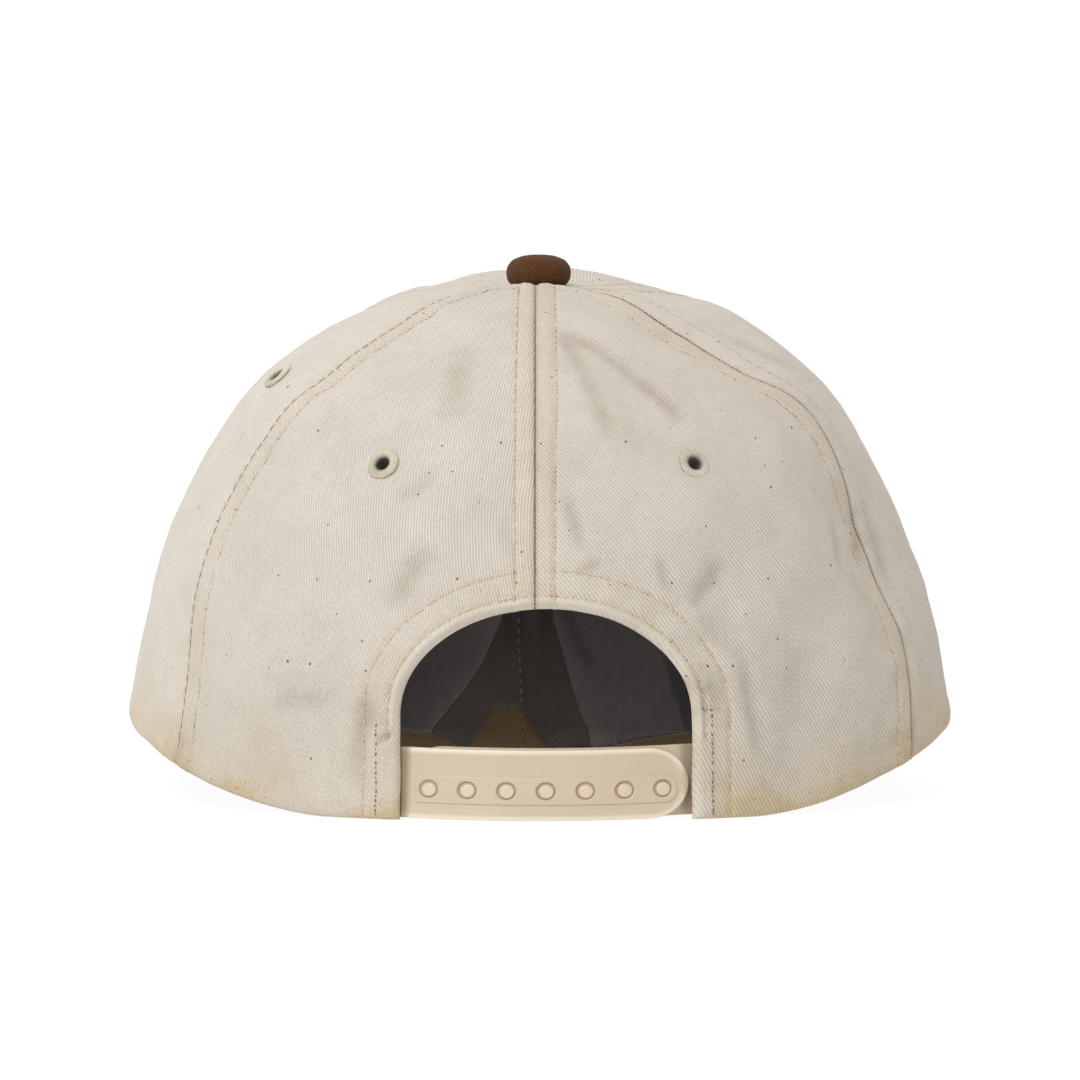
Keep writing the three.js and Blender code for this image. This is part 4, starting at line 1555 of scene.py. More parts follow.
@dataclass
class Button:
    """The covered button: a domed shell wrapped in brown twill, gathered under its edge."""

    radius: float = 7.45
    height: float = 6.95
    foot: float = 115.05
    profile: tuple = ((0, 0), (0.86, 0), (0.97, 0.18), (1.0, 0.4), (0.96, 0.62), (0.8, 0.83), (0.5, 0.955),
                      (0.24, 0.995), (0, 1))

    def build(self) -> Piece:
        """Makes and dresses the button."""
        deselect()
        bpy.ops.mesh.primitive_uv_sphere_add(segments=96, ring_count=56, radius=1.0)
        corners, faces = taken(bpy.context.object)
        table = np.array(self.profile, float)
        places = runs(table)
        fine = np.linspace(0, places[-1], 200)
        line = read(table, places, fine)
        kernel = np.hanning(23) / np.hanning(23).sum()
        padded = np.pad(line, ((11, 11), (0, 0)), mode="reflect", reflect_type="odd")
        smooth = np.stack([np.convolve(column, kernel, "valid") for column in padded.T], -1)
        share = 1 - np.arccos(np.clip(corners[:, 2], -1, 1)) / math.pi
        across, up = read(np.maximum(smooth, 0), fine / fine[-1], share).T
        across[share < 1e-4] = across[share > 1 - 1e-4] = 0
        turn = np.arctan2(corners[:, 1], corners[:, 0])
        gathers = np.cos(turn * 17 + 0.6 * np.sin(turn * 3)) * (1 - smooth_step(share, 0.32, 0.55)) * 0.012
        uneven = 0.012 * np.sin(turn * 2 + 1) * smooth_step(share, 0.3, 0.7)
        flat = (across + gathers * (across > 0.1) + uneven * across) * self.radius
        x = flat * np.cos(turn) + BUTTON_SHIFT
        points = np.stack([x, flat * np.sin(turn), self.foot + up * self.height], -1)
        spread = (1 - share) * math.pi * self.radius * 0.72
        cloth = np.stack([spread * np.cos(turn), spread * np.sin(turn)], -1) / 100
        piece = new_mesh("covered_button", points, faces, cloth)
        dress(piece, (BUTTON_TWILL,), ("button",))
        return piece


@dataclass
class Peak:
    """The flat peak: a stiff board under brown twill with rows of stitching round it."""

    thickness: float = 3.4
    reach: float = 70.0
    widest_at: float = -98.0
    side_share: float = 0.36
    flare: float = 0.45
    root: float = 0.45
    shoulder: float = 0.7
    nose: float = 0.58
    first_row: float = 5.0
    row_pitch: float = 6.2
    rows: int = 7

    def edge(self, share: Array) -> Array:
        """Half of the outer edge, from the horn round the widest place to the middle of the front."""
        half = CROWN.peak_half_width
        horn = CROWN.plan(CROWN.horn_azimuth)
        widest, front = np.array([half, self.widest_at]), np.array([0.0, -CROWN.half_length - self.reach])
        flare = np.array([half, mixed(widest[1], horn[1], self.flare)])
        root = mixed(horn, flare, self.root)
        shoulder = np.array([half, mixed(widest[1], front[1], self.shoulder)])
        nose = np.array([half * self.nose, front[1]])

        def bezier(a: Array, b: Array, c: Array, d: Array, t: Array) -> Array:
            """A cubic curve through a and d."""
            t = t[..., None]
            return a * (1 - t) ** 3 + 3 * b * t * (1 - t) ** 2 + 3 * c * t**2 * (1 - t) + d * t**3

        side = bezier(horn, root, flare, widest, np.clip(share / self.side_share, 0, 1))
        past = np.clip((share - self.side_share) / (1 - self.side_share), 0, 1)
        round_it = bezier(widest, shoulder, nose, front, past)
        return np.where((share < self.side_share)[..., None], side, round_it)

    def ends(self, column: Array) -> Pair:
        """The inner and outer edge at shares of the way round, from the left horn to the right one."""
        azimuth = mixed(CROWN.horn_azimuth, -180 - CROWN.horn_azimuth, column)
        inner = CROWN.plan(azimuth) * (1 - CROWN.wall / CROWN.half_width)
        outer = self.edge(1 - np.abs(1 - 2 * column))
        outer[..., 0] *= np.where(column > 0.5, -1, 1)
        return inner, outer

    def place(self, column: Array, row: Array) -> Pair:
        """Plan of the peak and the distance from its outer edge, at shares round it and across it."""
        inner, outer = self.ends(column)
        span = np.linalg.norm(outer - inner, axis=-1)
        return mixed(inner, outer, row[..., None]), span * (1 - row)

    def face(self, plan: Array, away: Array, top: bool) -> Array:
        """Points of the top or bottom face over a plan."""
        under = CROWN.peak_underside(plan[..., 0])
        rows = sum(groove(away - self.first_row - k * self.row_pitch, 0.55) for k in range(self.rows))
        drop = rolled(away, 1.55) + 0.22 * rows - 0.1 * plateau(away, 1.2, 4.2, 0.6)
        flat = np.concatenate([plan, np.zeros(plan.shape[:-1] + (1,))], -1)
        wave = 0.12 * SOFT.at(flat) + 0.03 * SMALL.at(flat)
        if top:
            return np.concatenate([plan, (under + self.thickness - drop + wave)[..., None]], -1)
        return np.concatenate([plan, np.maximum(under + drop, 0.0)[..., None]], -1)

    def build(self) -> list[Piece]:
        """Makes the peak and its stitching."""
        columns = np.linspace(0, 1, 261)
        fine = np.array([0.0, 0.12, 0.3, 0.6, 1.0, 1.5, 2.2]) / self.reach
        rows = np.concatenate([np.linspace(0, 1 - fine[-1], 70, endpoint=False), 1 - fine[::-1]])
        column, row = np.meshgrid(columns, rows)
        plan, away = self.place(column, row)
        piece = walled("peak_twill", self.face(plan, away, True), self.face(plan, away, False), plan)
        dress(piece, (BROWN,), ("peak",))
        return [piece, self.stitching()]

    def stitching(self) -> Piece:
        """Rows of stitches on the top and the underside."""
        paths = []
        columns = np.linspace(0.0, 1.0, 1400)
        inner, outer = self.ends(columns)
        span = np.linalg.norm(outer - inner, axis=-1)
        for k in range(self.rows):
            away = self.first_row + k * self.row_pitch
            there = span > away + 2.0
            plan, distance = self.place(columns[there], 1 - away / span[there])
            for top in (True, False):
                points = self.face(plan, distance, top)
                normal = np.zeros_like(points)
                normal[:, 2] = 1.0 if top else -1.0
                paths.append(Path(points, normal))
        return Stitching("peak_stitching", PEAK_STITCH, BROWN_THREAD, Slot.BROWN, 5).build(paths)


@dataclass
class InnerBand:
    """The twill band inside the rim, with its folded top edge."""

    wall: float = 1.0
    depth: float = 2.2
    front_top: float = 15.0
    side_top: float = 36.0
    back_top: float = 14.0
    ease: float = 1.5
    end_azimuth: float = 59.0
    front_foot: float = 0.4
    above_rim: float = 0.4
    least: float = 0.5
    foot_ease: float = 0.1

    def top(self, azimuth: Array) -> Array:
        """Height of its top edge."""
        sine = sin_deg(azimuth)
        end = np.where(sine > 0, self.back_top, self.front_top)
        return self.side_top + (end - self.side_top) * np.abs(sine) ** self.ease

    def foot(self, azimuth: Array) -> Array:
        """Height of its foot."""
        start = -math.sin(math.radians(CROWN.horn_azimuth))
        share = smooth_step(-sin_deg(azimuth), start, start + self.foot_ease)
        return mixed(CROWN.rim(azimuth) + self.above_rim, self.front_foot, share)

    def place(self, azimuth: Array, share: Array, depth: float) -> Array:
        """Points of the band at a share of its height over the rim."""
        rise = share * CROWN.rise_at(azimuth, self.top(azimuth))
        plain = CROWN.smooth(azimuth, rise)
        points = CROWN.point(azimuth, rise, depth + 0.12 * MIDDLING.at(plain) + 0.03 * SMALL.at(plain))
        points[..., 2] = np.maximum(points[..., 2], self.foot(azimuth) + self.least)
        return points

    def build(self) -> list[Piece]:
        """Makes the band and its stitching."""
        azimuths = np.linspace(-180 - self.end_azimuth, self.end_azimuth, 421)
        share = np.concatenate([np.linspace(0, 0.9, 18), [0.93, 0.955, 0.975, 0.99, 1.0]])
        azimuth, up = np.meshgrid(azimuths, share)
        edge = 0.42 * smooth_step(up, 0.95, 1.0)
        outer = self.place(azimuth, up, self.depth + edge)
        inner = self.place(azimuth, up, self.depth + self.wall - edge)
        foot = self.foot(azimuths)
        low_outer, low_inner = outer[0].copy(), inner[0].copy()
        low_outer[:, 2] = low_inner[:, 2] = foot
        outer, inner = np.concatenate([low_outer[None], outer]), np.concatenate([low_inner[None], inner])
        around = np.radians(azimuths) * (CROWN.half_width - 3)
        flat = np.stack([np.broadcast_to(around, outer.shape[:2]), outer[..., 2]], -1)
        piece = walled("inner_band_twill", outer, inner, flat)
        dress(piece, (BAND_TWILL,), ("inner_band",))
        line = np.linspace(-180 - self.end_azimuth + 1, self.end_azimuth - 1, 1500)
        sewn = self.place(line, np.full(line.shape, 0.9), self.depth + self.wall)
        path = Path(sewn, -CROWN.normal(line, np.full(line.shape, 0.1)))
        sewing = Stitching("inner_band_stitching", BAND_STITCH, BROWN_THREAD, Slot.BAND, 9)
        return [piece, sewing.build([path])]


class Strip(Enum):
    """The lining's three pieces."""

    LEFT = "lining_left"
    CENTRE = "lining_centre"
    RIGHT = "lining_right"


LININGS = (
    (Strip.LEFT, CHARCOAL, Slot.CHARCOAL, 90, (0.095, 0.135), 0.0087),
    (Strip.CENTRE, DARK_STRIP, Slot.DARK, 60, (0.049, 0.130), 0.0021),
    (Strip.RIGHT, CHARCOAL, Slot.CHARCOAL, 90, (0.095, 0.135), 0.0094),
)
STRIP_EDGES = np.array([
    [0, 30, -19], [3, 28.5, -16.5], [6, 27, -12.3], [10, 24, -10], [16, 19, -8.1], [23.5, 14.2, -6.1],
    [34, 9.3, -3.1], [70, 6, -3], [112, 3, -2],
], float)
LINING_FOOT = np.array([
    [-82, 16], [-36, 4.8], [-27, 3.2], [-15, 0.5], [-2.2, 0.5], [5, 12], [12.6, 11.8], [19, 0.5], [27, 4.8],
    [35, 6.4], [82, 18],
], float)


def strip_edge(height: Array, side: int) -> Array:
    """X of the middle strip's left (1) or right (2) edge at heights."""
    return np.interp(height, STRIP_EDGES[:, 0], STRIP_EDGES[:, side])


def lining_foot(x: Array) -> Array:
    """Height of the lining's foot at places across the cap."""
    return np.interp(x, LINING_FOOT[:, 0], LINING_FOOT[:, 1])


@dataclass
class FrontLining:
    """The dark lining behind the front panels, in three pieces with soft folds."""

    wall: float = 0.9
    depth: float = 3.7
    half_spread: float = 58.0
    top_rise: float = 0.86
    fold_gain: float = 0.45
    band_edge: float = 12.3

    def strip_azimuth(self, side: int, rise: Array) -> Array:
        """Azimuth of the middle strip's edge, 1 for its left one and 2 for its right one."""
        height = CROWN.point(270.0, rise, self.depth)[..., 2]
        sine = strip_edge(height, side) / (CROWN.half_width * CROWN.reach(rise) - self.depth)
        return -90 + np.degrees(np.arcsin(np.clip(sine, -0.9, 0.9)))

    def bounds(self, strip: Strip, rise: Array) -> Pair:
        """First and last azimuth of a piece at a rise."""
        ends = [np.full(rise.shape, -90 + side * self.half_spread) for side in (-1, 1)]
        edges = (ends[0], self.strip_azimuth(2, rise), self.strip_azimuth(1, rise), ends[1])
        first = {Strip.RIGHT: 0, Strip.CENTRE: 1, Strip.LEFT: 2}[strip]
        return edges[first], edges[first + 1]

    def folds(self, points: Array) -> Array:
        """Soft folds, pleats by the top of the middle among them."""
        x, z = points[..., 0], points[..., 2]
        pleats = 0.55 * np.cos(x * (TAU / 6.5) + 0.8 * np.sin(z / 9)) * groove(x - 1.5, 13)
        pleats = pleats * smooth_step(z, 28, 42)
        left = 1.1 * groove((x - 12) - (z - 18) * 0.35, 5.5) * smooth_step(z, 4, 16)
        left = left * (1 - smooth_step(z, 34, 46))
        right = -1.0 * groove((x + 5.5) + (36 - z) * 0.22, 4.0) * smooth_step(z, 2, 10)
        return pleats + left + right + 0.35 * SOFT.at(points * 1.6) + 0.1 * MIDDLING.at(points)

    def tone(self, strip: Strip, points: Array) -> Array:
        """How light the cloth is painted, as painted light and shade: most along the lobes' inner edges,
        least in the pleats and at the sides.
        """
        x, z = points[..., 0], points[..., 2]
        if strip is Strip.LEFT:
            away = x - strip_edge(z, 1)
            return 0.12 + 0.62 * np.exp(-np.maximum(away, 0) / 9.0) + 0.12 * smooth_step(z, 20, 36)
        if strip is Strip.CENTRE:
            pleats = groove(x - 8.0, 1.0) + groove(x + 0.5, 0.9) + groove(x - 4.6, 0.7) + groove(x + 2.2, 0.6)
            return 0.42 - 0.4 * pleats * smooth_step(z, 24, 32) - 0.12 * smooth_step(z, 8, 22)
        away = strip_edge(z, 2) - x
        valley = groove(x - np.interp(z, [18, 35], [-14.0, -6.2]), 1.9) * smooth_step(z, 17, 24)
        side = smooth_step(-x - np.interp(z, [5, 24], [36.0, 30.0]), -0.5, 0.5)
        lobe = 0.5 + 0.2 * np.exp(-away / 5.0) - 0.34 * valley - 0.1 * smooth_step(z, 22, 36)
        return mixed(lobe, 0.1, side)

    def lay(self, strip: Strip, points: Array) -> Pair:
        """Distance across the ribs of the middle piece, and how much they show."""
        x, z = points[..., 0], points[..., 2]
        if strip is not Strip.CENTRE:
            return x * 0, x * 0
        left = smooth_step(x, 4.5, 6.5) * (1 - smooth_step(z, 22, 34))
        right = smooth_step(-x, -2, 1) * (1 - smooth_step(z, 10, 20))
        return np.where(x > 2, x * 0.84 + z * 0.54, x * 0.6 - z * 0.8), 0.55 * left + 0.5 * right

    def pressed(self, azimuth: Array, rise: Array) -> Array:
        """How far the folds press the lining in."""
        return self.fold_gain * np.clip(self.folds(CROWN.smooth(azimuth, rise)), -0.8, 2.4)

    def place(self, azimuth: Array, rise: Array, depth: Array) -> Array:
        """Points of the lining at a depth."""
        return CROWN.point(azimuth, rise, depth + self.pressed(azimuth, rise))

    def build(self, strip: Strip, finish: Lining, slot: Slot, columns: int) -> Piece:
        """Makes and dresses one piece of the lining.

        Args:
            strip: which piece.
            finish: its cloth.
            slot: not used.
            columns: how finely it is divided across.

        Returns:
            The piece.
        """
        share = np.linspace(0, 1, columns)
        first, last = self.bounds(strip, np.zeros(1))
        foot_azimuth = mixed(first, last, share)
        for _ in range(6):
            x = CROWN.half_width * cos_deg(foot_azimuth)
            foot = lining_foot(x)
            low = CROWN.rise_at(foot_azimuth, foot)
            first, last = self.bounds(strip, low)
            foot_azimuth = mixed(first, last, share)
        up = np.linspace(0, 1, 110)[:, None]
        rise = low[None] + up * (self.top_rise - low[None])
        first, last = self.bounds(strip, rise)
        azimuth = mixed(first, last, share[None])
        outer = self.place(azimuth, rise, self.depth)
        inner = self.place(azimuth, rise, self.depth + self.wall)
        for layer in (outer, inner):
            layer[0, :, 2] = np.minimum(layer[0, :, 2], foot + 0.3)
            layer[..., 2] = np.maximum(layer[..., 2], 0.4)
        spread = CROWN.half_width * CROWN.reach(rise)
        flat = np.stack([np.radians(azimuth + 90) * spread, outer[..., 2]], -1)
        lay, ribbed = self.lay(strip, inner)
        piece = walled(f"{strip.value}_cloth", outer, inner, flat, tone=self.tone(strip, inner), lay=lay,
                       ribbed=ribbed)
        dress(piece, (finish,), (strip.value,))
        return piece

    def stitching(self) -> Piece:
        """The dashed line down the middle and the one along the right foot."""
        height = np.linspace(1.2, 78, 600)
        x = np.interp(height, [0, 30, 80], [4.0, 5.4, 4.6])
        rise = CROWN.rise_at(270.0, height)
        azimuth = -90 + np.degrees(x / (CROWN.half_width * CROWN.reach(rise) - self.depth))
        band = InnerBand()
        below = height < self.band_edge
        depth = np.where(below, band.depth + band.wall, self.depth + self.wall)
        points = CROWN.point(azimuth, rise, depth + np.where(below, 0.0, self.pressed(azimuth, rise)))
        points[:, 2] = height
        middle = Path(points, -CROWN.normal(azimuth, rise))
        x = np.linspace(-9, -60, 500)
        foot = lining_foot(x) + 0.9
        azimuth = -90 + np.degrees(np.arcsin(x / (CROWN.half_width - 4)))
        points = self.place(azimuth, CROWN.rise_at(azimuth, foot), self.depth + self.wall)
        points[:, 2] = foot
        side = Path(points, -CROWN.normal(azimuth, foot * 0))
        return Stitching("lining_stitching", BAND_STITCH, BROWN_THREAD, Slot.DARK, 11).build([middle, side])


@dataclass
class SnapStrap:
    """The two snap straps across the back opening, modelled flat and laid along the crown."""

    height: float = 15.0
    wall: float = 1.3
    depth: float = 1.9
    gap: float = 0.32
    sag: float = 0.5
    tab: float = 44.0
    tip: float = 33.7
    tip_length: float = 9.4
    pegs: int = 7
    pitch: float = 8.75
    centre: float = -1.3
    peg_height: float = 6.3
    peg_radius: float = 1.7
    hole_radius: float = 2.02
    pin_squash: float = 0.88
    band_height: float = 5.8
    band: tuple = (-30.9, 27.8)
    field_drop: float = 0.15
    bead: float = 0.85
    band_rise: float = 0.22
    slices: float = 1.6

    def bottom(self, along: Array) -> Array:
        """How far the strap's foot stands over the ground."""
        return self.sag * np.minimum(1, np.abs(along) / self.tip) ** 2

    def laid(self, corners: Array) -> Array:
        """Lays flat corners (along, height, outward) on the crown."""
        along, height = corners[:, 0], corners[:, 1] + self.bottom(corners[:, 0])
        azimuth = 90 - np.degrees(along / CROWN.half_width)
        rise = CROWN.rise_at(azimuth, np.maximum(height, 0.001))
        points = CROWN.point(azimuth, rise, -corners[:, 2])
        points[:, 2] = height
        return points

    def bar(self, start: float, end: float, low: float, high: float, back: float, front: float) -> Piece:
        """A flat bar as a primitive: from start to end, low to high, with its faces at back and front."""
        deselect()
        size = (end - start, high - low, front - back)
        middle = ((start + end) / 2, (low + high) / 2, (back + front) / 2)
        bpy.ops.mesh.primitive_cube_add(size=1.0, location=middle, scale=size)
        bar = bpy.context.object
        bpy.ops.object.transform_apply(location=True, rotation=False, scale=True)
        return bar

    def round_end(self, bar: Piece, end: float, radius: float, stretch: float, segments: int) -> None:
        """Rounds the bar's two upright edges at an end, then stretches the round along the bar."""
        def upright(middle: object, way: object) -> bool:
            """Whether an edge stands at the end."""
            return abs(middle.x - end) < 0.01 and abs(way.z) > 0.1 and abs(way.y) < 0.01

        pick(bar, "EDGE", upright)
        bpy.ops.mesh.bevel(offset=radius, segments=segments, profile=0.5, affect="EDGES")
        leave_edit()
        inward = -1 if end > 0 else 1
        start = end + inward * radius
        for vertex in bar.data.vertices:
            past = (vertex.co.x - start) * -inward
            if past > 0.001:
                vertex.co.x = end + inward * (stretch - past * stretch / radius)
            elif past > -0.001:
                vertex.co.x = end + inward * stretch

    def edge_softened(self, bar: Piece, width: float, segments: int) -> None:
        """Rounds the edges round the front face."""
        pick(bar, "FACE", lambda middle, way: way.z > 0.9)
        bpy.ops.mesh.bevel(offset=width, segments=segments, profile=0.5, affect="EDGES")
        leave_edit()

    def sink(self, bar: Piece) -> None:
        """Sinks the front face inside a raised bead."""
        pick(bar, "FACE", lambda middle, way: way.z > 0.999)
        bpy.ops.mesh.inset(thickness=self.bead, depth=0.0)
        bpy.ops.mesh.inset(thickness=0.5, depth=-self.field_drop)
        leave_edit()

    def pins(self, radius: float, back: float, front: float, dome: float = 0.0, flare: float = 0.0,
             shift: float = 0.0) -> Piece:
        """A row of round pins at the pegs' places, as one object.

        Args:
            radius: of the pins.
            back: where they start.
            front: where they end.
            dome: how far their front edge is rounded.
            flare: how much wider they are in front.
            shift: how far they sit off the middle, along and down.

        Returns:
            The pins.
        """
        made = []
        for index in range(self.pegs):
            along = self.centre + (index - (self.pegs - 1) / 2) * self.pitch - shift
            deselect()
            place = (along, self.peg_height - shift, (back + front) / 2)
            bpy.ops.mesh.primitive_cone_add(
                vertices=40, radius1=radius, radius2=radius + flare, depth=front - back, location=place,
                scale=(1.0, self.pin_squash, 1.0))
            pin = bpy.context.object
            bpy.ops.object.transform_apply(location=True, rotation=True, scale=True)
            if dome:
                self.edge_softened(pin, dome, 5)
            made.append(pin)
        activate(made[0])
        for pin in made:
            pin.select_set(True)
        bpy.ops.object.join()
        return bpy.context.object

    def joined(self, bar: Piece, other: Piece, operation: str) -> None:
        """Joins or cuts the bar with another object, which is then removed."""
        activate(bar)
        modifier = bar.modifiers.new("joined", "BOOLEAN")
        modifier.object, modifier.operation, modifier.solver = other, operation, "MANIFOLD"
        bpy.ops.object.modifier_apply(modifier=modifier.name)
        dropped(other)

    def from_peg(self, along: Array, height: Array) -> Array:
        """Distance from the middle of the nearest peg."""
        furthest = self.pegs // 2
        step = np.clip(np.round((along - self.centre) / self.pitch), -furthest, furthest)
        return np.hypot(along - self.centre - step * self.pitch, height - self.peg_height)

    def bead_highlight(self, corners: Array) -> Array:
        """Painted highlight on the front strap's raised bead and on the peg heads, from 0 to 1."""
        along, height, outward = corners.T
        radius = self.height / 2
        past = np.minimum((along + self.tip - self.tip_length) / self.tip_length, 0)
        inset = radius * (1 - np.hypot(past, (height - radius) / radius))
        bead = 1 - smooth_step(inset, self.bead * 0.7, self.bead * 1.5)
        bead = bead * (outward > -self.depth - self.field_drop)
        away = self.from_peg(along, height)
        return np.maximum(bead, 0.35 * (away < self.peg_radius + 0.1))

    def shade(self, corners: Array) -> Array:
        """Painted shade down in the peg holes: how far down each corner is, from 0 to 1."""
        along, height, outward = corners.T
        away = self.from_peg(along, height)
        face = -self.depth + 0.12 - self.field_drop + self.band_rise
        return (away < self.hole_radius + 0.2) * smooth_step(face - outward, 0.1, 0.5)

    def entry(self, corners: Array) -> Array:
        """Painted shadow where the straps go under the cloth's edge, from 0 to 1."""
        along = corners[:, 0]
        return smooth_step(along, 28.9, 30.9) + 0.6 * smooth_step(-along, 31.6, 33.2)

    def finished(self, bar: Piece, name: str, node: str) -> Piece:
        """Slices the bar so that it can bend, and lays it on the crown."""
        edit(bar)
        for place in np.arange(-self.tab + self.slices / 2, self.tab, self.slices):
            bpy.ops.mesh.select_all(action="SELECT")
            bpy.ops.mesh.bisect(plane_co=(place, 0, 0), plane_no=(1, 0, 0))
        bpy.ops.mesh.select_all(action="SELECT")
        bpy.ops.mesh.remove_doubles(threshold=0.002)
        bpy.ops.mesh.quads_convert_to_tris(quad_method="BEAUTY", ngon_method="BEAUTY")
        leave_edit()
        corners, faces = taken(bar)
        # These attributes carry the painted highlight on the bead and pegs, painted shade in the holes and
        # painted shadow where the straps go under the cloth.
        piece = new_mesh(name, self.laid(corners), faces, rim=self.bead_highlight(corners),
                         deep=self.shade(corners), entry=self.entry(corners))
        edit(piece)
        bpy.ops.mesh.normals_make_consistent(inside=False)
        leave_edit()
        bpy.ops.object.shade_smooth_by_angle(angle=math.radians(20))
        dress(piece, (STRAP_PLASTIC,), (node,))
        return piece

    def build(self) -> list[Piece]:
        """Makes both straps."""
        front = -self.depth + 0.12
        back = -(self.depth + self.wall)
        side = self.height / 2 - 0.15
        outer = self.bar(-self.tip, self.tab, 0.0, self.height, back, front)
        self.round_end(outer, -self.tip, side, self.tip_length, 18)
        self.edge_softened(outer, 0.42, 4)
        self.sink(outer)
        field = front - self.field_drop
        low, high = self.peg_height - self.band_height / 2, self.peg_height + self.band_height / 2
        band = self.bar(self.band[0], self.band[1], low, high, field - 0.5, field + self.band_rise)
        self.round_end(band, self.band[0], self.band_height / 2 - 0.2, self.band_height / 2, 10)
        self.edge_softened(band, 0.14, 2)
        self.joined(outer, band, "UNION")
        self.joined(outer, self.pins(self.hole_radius, back - 1, front + 1), "DIFFERENCE")
        face = field + self.band_rise
        flares = self.pins(self.hole_radius - 0.06, face - 0.42, face + 0.42, flare=0.9)
        self.joined(outer, flares, "DIFFERENCE")
        with_holes = self.finished(outer, "snap_strap_outer", "strap_with_holes")
        inner_front = back - self.gap
        low, high = 0.3, self.height + 0.3
        inner = self.bar(-self.tab, self.tip - 2, low, high, inner_front - self.wall, inner_front)
        self.round_end(inner, self.tip - 2, side, self.tip_length, 14)
        self.edge_softened(inner, 0.24, 3)
        self.joined(inner, self.pins(self.hole_radius - 0.08, inner_front - 0.6, face - 0.42), "UNION")
        pegs = self.pins(self.peg_radius, inner_front - 0.6, face - 0.04, dome=0.5, shift=0.12)
        self.joined(inner, pegs, "UNION")
        return [with_holes, self.finished(inner, "snap_strap_inner", "strap_with_pegs")]


BUTTON_TWILL = Twill("button_twill", linear(108, 67, 30), linear(32, 18, 7), pitch=0.5, contrast=0.8,
                     sheen=0.03, grain=2.6, grain_size=0.42, roughness=0.85, bump_depth=0.22)
PEAK_STITCH = StitchStyle(length=2.6, pitch=3.1, width=0.45, height=0.36, hole_share=0.0)

PANELS = (
    Panel("back", "left", Seam.LEFT_BACK, Seam.BACK, SIDE_ROW, BACK_ROW_LEFT, (62.3, 75.6), arch_side=1,
          finish=NATURAL_LEFT),
    Panel("back", "right", Seam.BACK, Seam.RIGHT_BACK, BACK_ROW_RIGHT, SIDE_ROW, (117.2, 75.6), arch_side=-1,
          finish=NATURAL_RIGHT, seam_shade=0.8),
    Panel("side", "left", Seam.LEFT_FRONT, Seam.LEFT_BACK, SIDE_ROW, EDGE_ROW, (19.0, 94.2),
          turn=FULL_TURN, step=1.0),
    Panel("side", "right", Seam.RIGHT_BACK, Seam.RIGHT_FRONT, EDGE_ROW, SIDE_ROW, (202.0, 93.0), step=1.0,
          seam_shade=0.8),
    Panel("front", "left", Seam.FRONT, Seam.LEFT_FRONT, SIDE_ROW, SIDE_ROW, (300.0, 98.0), step=1.1),
    Panel("front", "right", Seam.RIGHT_FRONT, Seam.FRONT, SIDE_ROW, SIDE_ROW, (240.0, 98.0), step=1.1),
)


@dataclass
class CrownCloth:
    """The six panels, sewn together."""

    button_clear: float = 6.5

    def build(self) -> None:
        """Makes the panels, then sews them."""
        for panel in PANELS:
            panel.build()
        self.sew_seams()
        self.sew_arch()

    def sew_seams(self) -> None:
        """Topstitches both sides of each seam, and lays the yarn ends in the seams, coloured brown as painted
        shade in the seam grooves.
        """
        clear = self.button_clear
        left, right = PANELS[:2]
        start_left, start_right = self.above_arch(left, 1), self.above_arch(right, -1)
        low = float(np.interp(start_left - 1.0, left.along, left.rises))
        sides = ((2, True), (3, False), (4, True), (4, False), (5, True), (5, False))
        rows = (
            ("back_seam_stitching", TOPSTITCH, SEAM_THREAD, 2,
             [left.seam_path(False, start_left, clear), right.seam_path(True, start_right, clear)]),
            ("side_seam_stitching", TOPSTITCH, SEAM_THREAD, 3,
             [left.seam_path(True, high=clear), right.seam_path(False, high=clear)]),
            ("side_panel_stitching", FINE_STITCH, FAINT_THREAD, 10,
             [PANELS[3].seam_path(True, high=clear, row=SIDE_ROW)]),
            ("left_seam_stitching", FINE_STITCH, SHADED_SEAM_THREAD, 5, [self.fringe(Seam.LEFT_BACK, 0.0)]),
            ("back_seam_fringe", FINE_FRINGE, SHADED_SEAM_THREAD, 11, [self.fringe(Seam.BACK, low, 0.02)]),
            ("right_seam_fringe", FRINGE, FRINGE_THREAD, 8, [self.fringe(Seam.RIGHT_BACK, 0.0, 0.04)]),
            ("front_seam_stitching", FINE_STITCH, SEAM_THREAD, 4,
             [PANELS[index].seam_path(start, high=clear) for index, start in sides]),
        )
        for name, style, thread, seed, paths in rows:
            Stitching(name, style, thread, Slot.TWILL, seed).build(paths)

    def fringe(self, seam: Seam, low: float, sunk: float = 0.1) -> Path:
        """The line of raw yarn ends down in a seam, from a rise up to the button, whose darker thread paints
        the groove's shade.
        """
        rise = np.linspace(low, FRINGE_TOP, 500)
        azimuth = CROWN.seam(seam, rise)
        depth = unevenness(CROWN.smooth(azimuth, rise)) + sunk
        return Path(CROWN.point(azimuth, rise, depth), CROWN.normal(azimuth, rise))

    def above_arch(self, panel: Panel, side: int) -> float:
        """Where a back seam's row starts, along the cloth, just over the opening."""
        rise = CROWN.rise_at(90 - side * 3.0, ARCH.spring + ARCH.rise + 0.9)
        return float(panel.flattened(90.0, rise)[1])

    def sew_arch(self) -> None:
        """Sews the two rows round the back opening and the dark ones that hold the straps."""
        starts = list(zip(ARCH_ROWS, (17.0, 1.0)))
        rows = [panel.arch_path(offset, low) for panel in PANELS[:2] for offset, low in starts]
        Stitching("opening_stitching", TOPSTITCH, SEAM_THREAD, Slot.TWILL, 6).build(rows)
        left, right = PANELS[0].arch_path(4.7, 1.0, 20.5), PANELS[1].arch_path(3.7, 1.0, 23.0)
        x = ARCH.shift - ARCH.half_width - np.linspace(1.3, 4.9, 40)
        azimuth, rise = CROWN.behind(x, np.linspace(23.6, 22.9, 40))
        points = PANELS[1].face(*PANELS[1].flattened(azimuth, rise))
        tack = Path(points, CROWN.normal(azimuth, rise))
        sewing = Stitching("strap_stitching", STRAP_STITCH, DARK_THREAD, Slot.TWILL, 7, DARK_HOLE)
        sewing.build([left, right, tack])


# Floor, light and camera


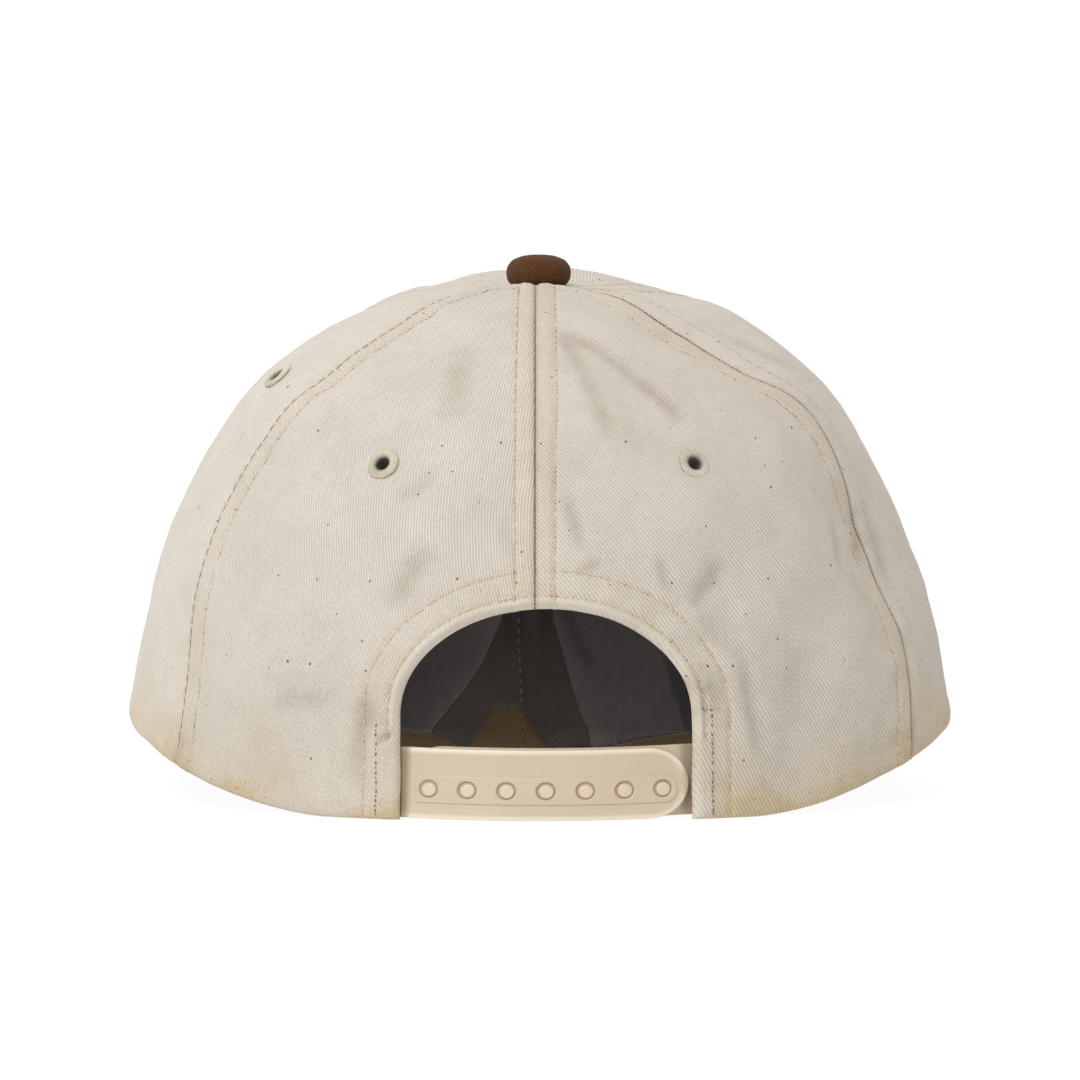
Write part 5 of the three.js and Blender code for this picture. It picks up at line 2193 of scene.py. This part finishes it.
@dataclass
class Studio:
    """A pale floor, soft light from the viewer's left, and the camera behind the cap."""

    distance: float = 1300.0
    height: float = 107.8
    pitch: float = 2.265
    focal_px: float = 5655.0
    image_px: float = 1080.0
    table_glow: float = 0.94
    backdrop: float = 1.04
    room: float = 0.37
    lean: float = 0.19
    floor_radius: float = 9.0
    key: float = 20.3
    key_size: float = 0.6
    key_place: tuple = (0.46, 1.12, 1.32)
    key_aim: tuple = (0.0, 0.04, 0.05)

    def camera(self) -> None:
        """Sets the camera at the photograph's angle."""
        data = bpy.data.cameras.new("camera")
        data.sensor_width = 36.0
        data.lens = self.focal_px * data.sensor_width / self.image_px
        data.clip_start, data.clip_end = 0.01, 50.0
        camera = linked("camera", data)
        place = (np.array([0.0, self.distance, self.height]) + ROW_SHIFT) * MM
        camera.location = place.tolist()
        camera.rotation_euler = (math.radians(90 - self.pitch), 0.0, math.pi)
        bpy.context.scene.camera = camera

    def floor(self) -> None:
        """Lays the floor."""
        deselect()
        place = (0, 0, -0.0002)
        bpy.ops.mesh.primitive_circle_add(
            vertices=96, radius=self.floor_radius, fill_type="NGON", location=place)
        floor = bpy.context.object
        floor.name = "floor"
        graph = Graph("pale_floor")
        tone = graph.noise(graph.object_place(), 300.0, 2.0)
        graph.feed(Base_Color=graph.blend(tone, linear(86, 86, 85), linear(90, 90, 90)), Roughness=0.9)
        graph.feed(Specular_IOR_Level=0.1)
        graph.feed(Emission_Color=linear(255, 255, 255), Emission_Strength=self.table_glow)
        floor.data.materials.append(graph.material)

    def lamp(self) -> None:
        """Hangs a soft square lamp that faces the cap."""
        data = bpy.data.lights.new("key", "AREA")
        data.shape, data.size = "SQUARE", self.key_size
        data.energy, data.color = self.key, (1.0, 0.985, 0.96)
        lamp = linked("key", data)
        way = np.array(self.key_aim) - np.array(self.key_place)
        yaw, tilt = math.atan2(way[0], -way[1]), math.acos(-way[2] / np.linalg.norm(way))
        lamp.location, lamp.rotation_euler = self.key_place, (tilt, 0.0, yaw + math.pi)

    def light(self) -> None:
        """Lights the cap and the room."""
        scene = bpy.context.scene
        scene.view_settings.view_transform = "Standard"
        scene.world = world = bpy.data.worlds.new("studio")
        world.use_nodes = True
        nodes = Nodes(world.node_tree)
        x, y, _ = nodes.parts(nodes.out("ShaderNodeNewGeometry", {}, {}, "Position"))
        limits = {"Value": y, "From Min": -0.45, "From Max": 0.25,
                  "To Min": self.backdrop, "To Max": self.room}
        light = nodes.out("ShaderNodeMapRange", {"interpolation_type": "SMOOTHSTEP"}, limits, "Result")
        turn = nodes.out("ShaderNodeMapRange", {}, {"Value": x, "From Min": -0.9, "From Max": 0.1}, "Result")
        background = world.node_tree.nodes["Background"].inputs
        nodes.plug(background["Color"], nodes.blend(turn, (1.0, 0.9, 0.79, 1.0), (1.0, 1.0, 1.0, 1.0)))
        nodes.plug(background["Strength"], (x * self.lean + 1.0) * light)
        self.lamp()

    def build(self) -> None:
        """Sets up the studio."""
        self.camera()
        self.floor()
        self.light()


def main() -> None:
    """Builds the cap in order and reports each piece."""
    logging.basicConfig(level=logging.INFO, format="%(message)s")
    Studio().build()
    CrownCloth().build()
    for seed, panel in enumerate(PANELS):
        Eyelets().build(panel, seed)
    Button().build()
    Peak().build()
    InnerBand().build()
    lining = FrontLining()
    for strip, finish, slot, columns, flat, area in LININGS:
        piece = lining.build(strip, finish, slot, columns)
    lining.stitching()
    SnapStrap().build()


if __name__ == "__main__":
    main()
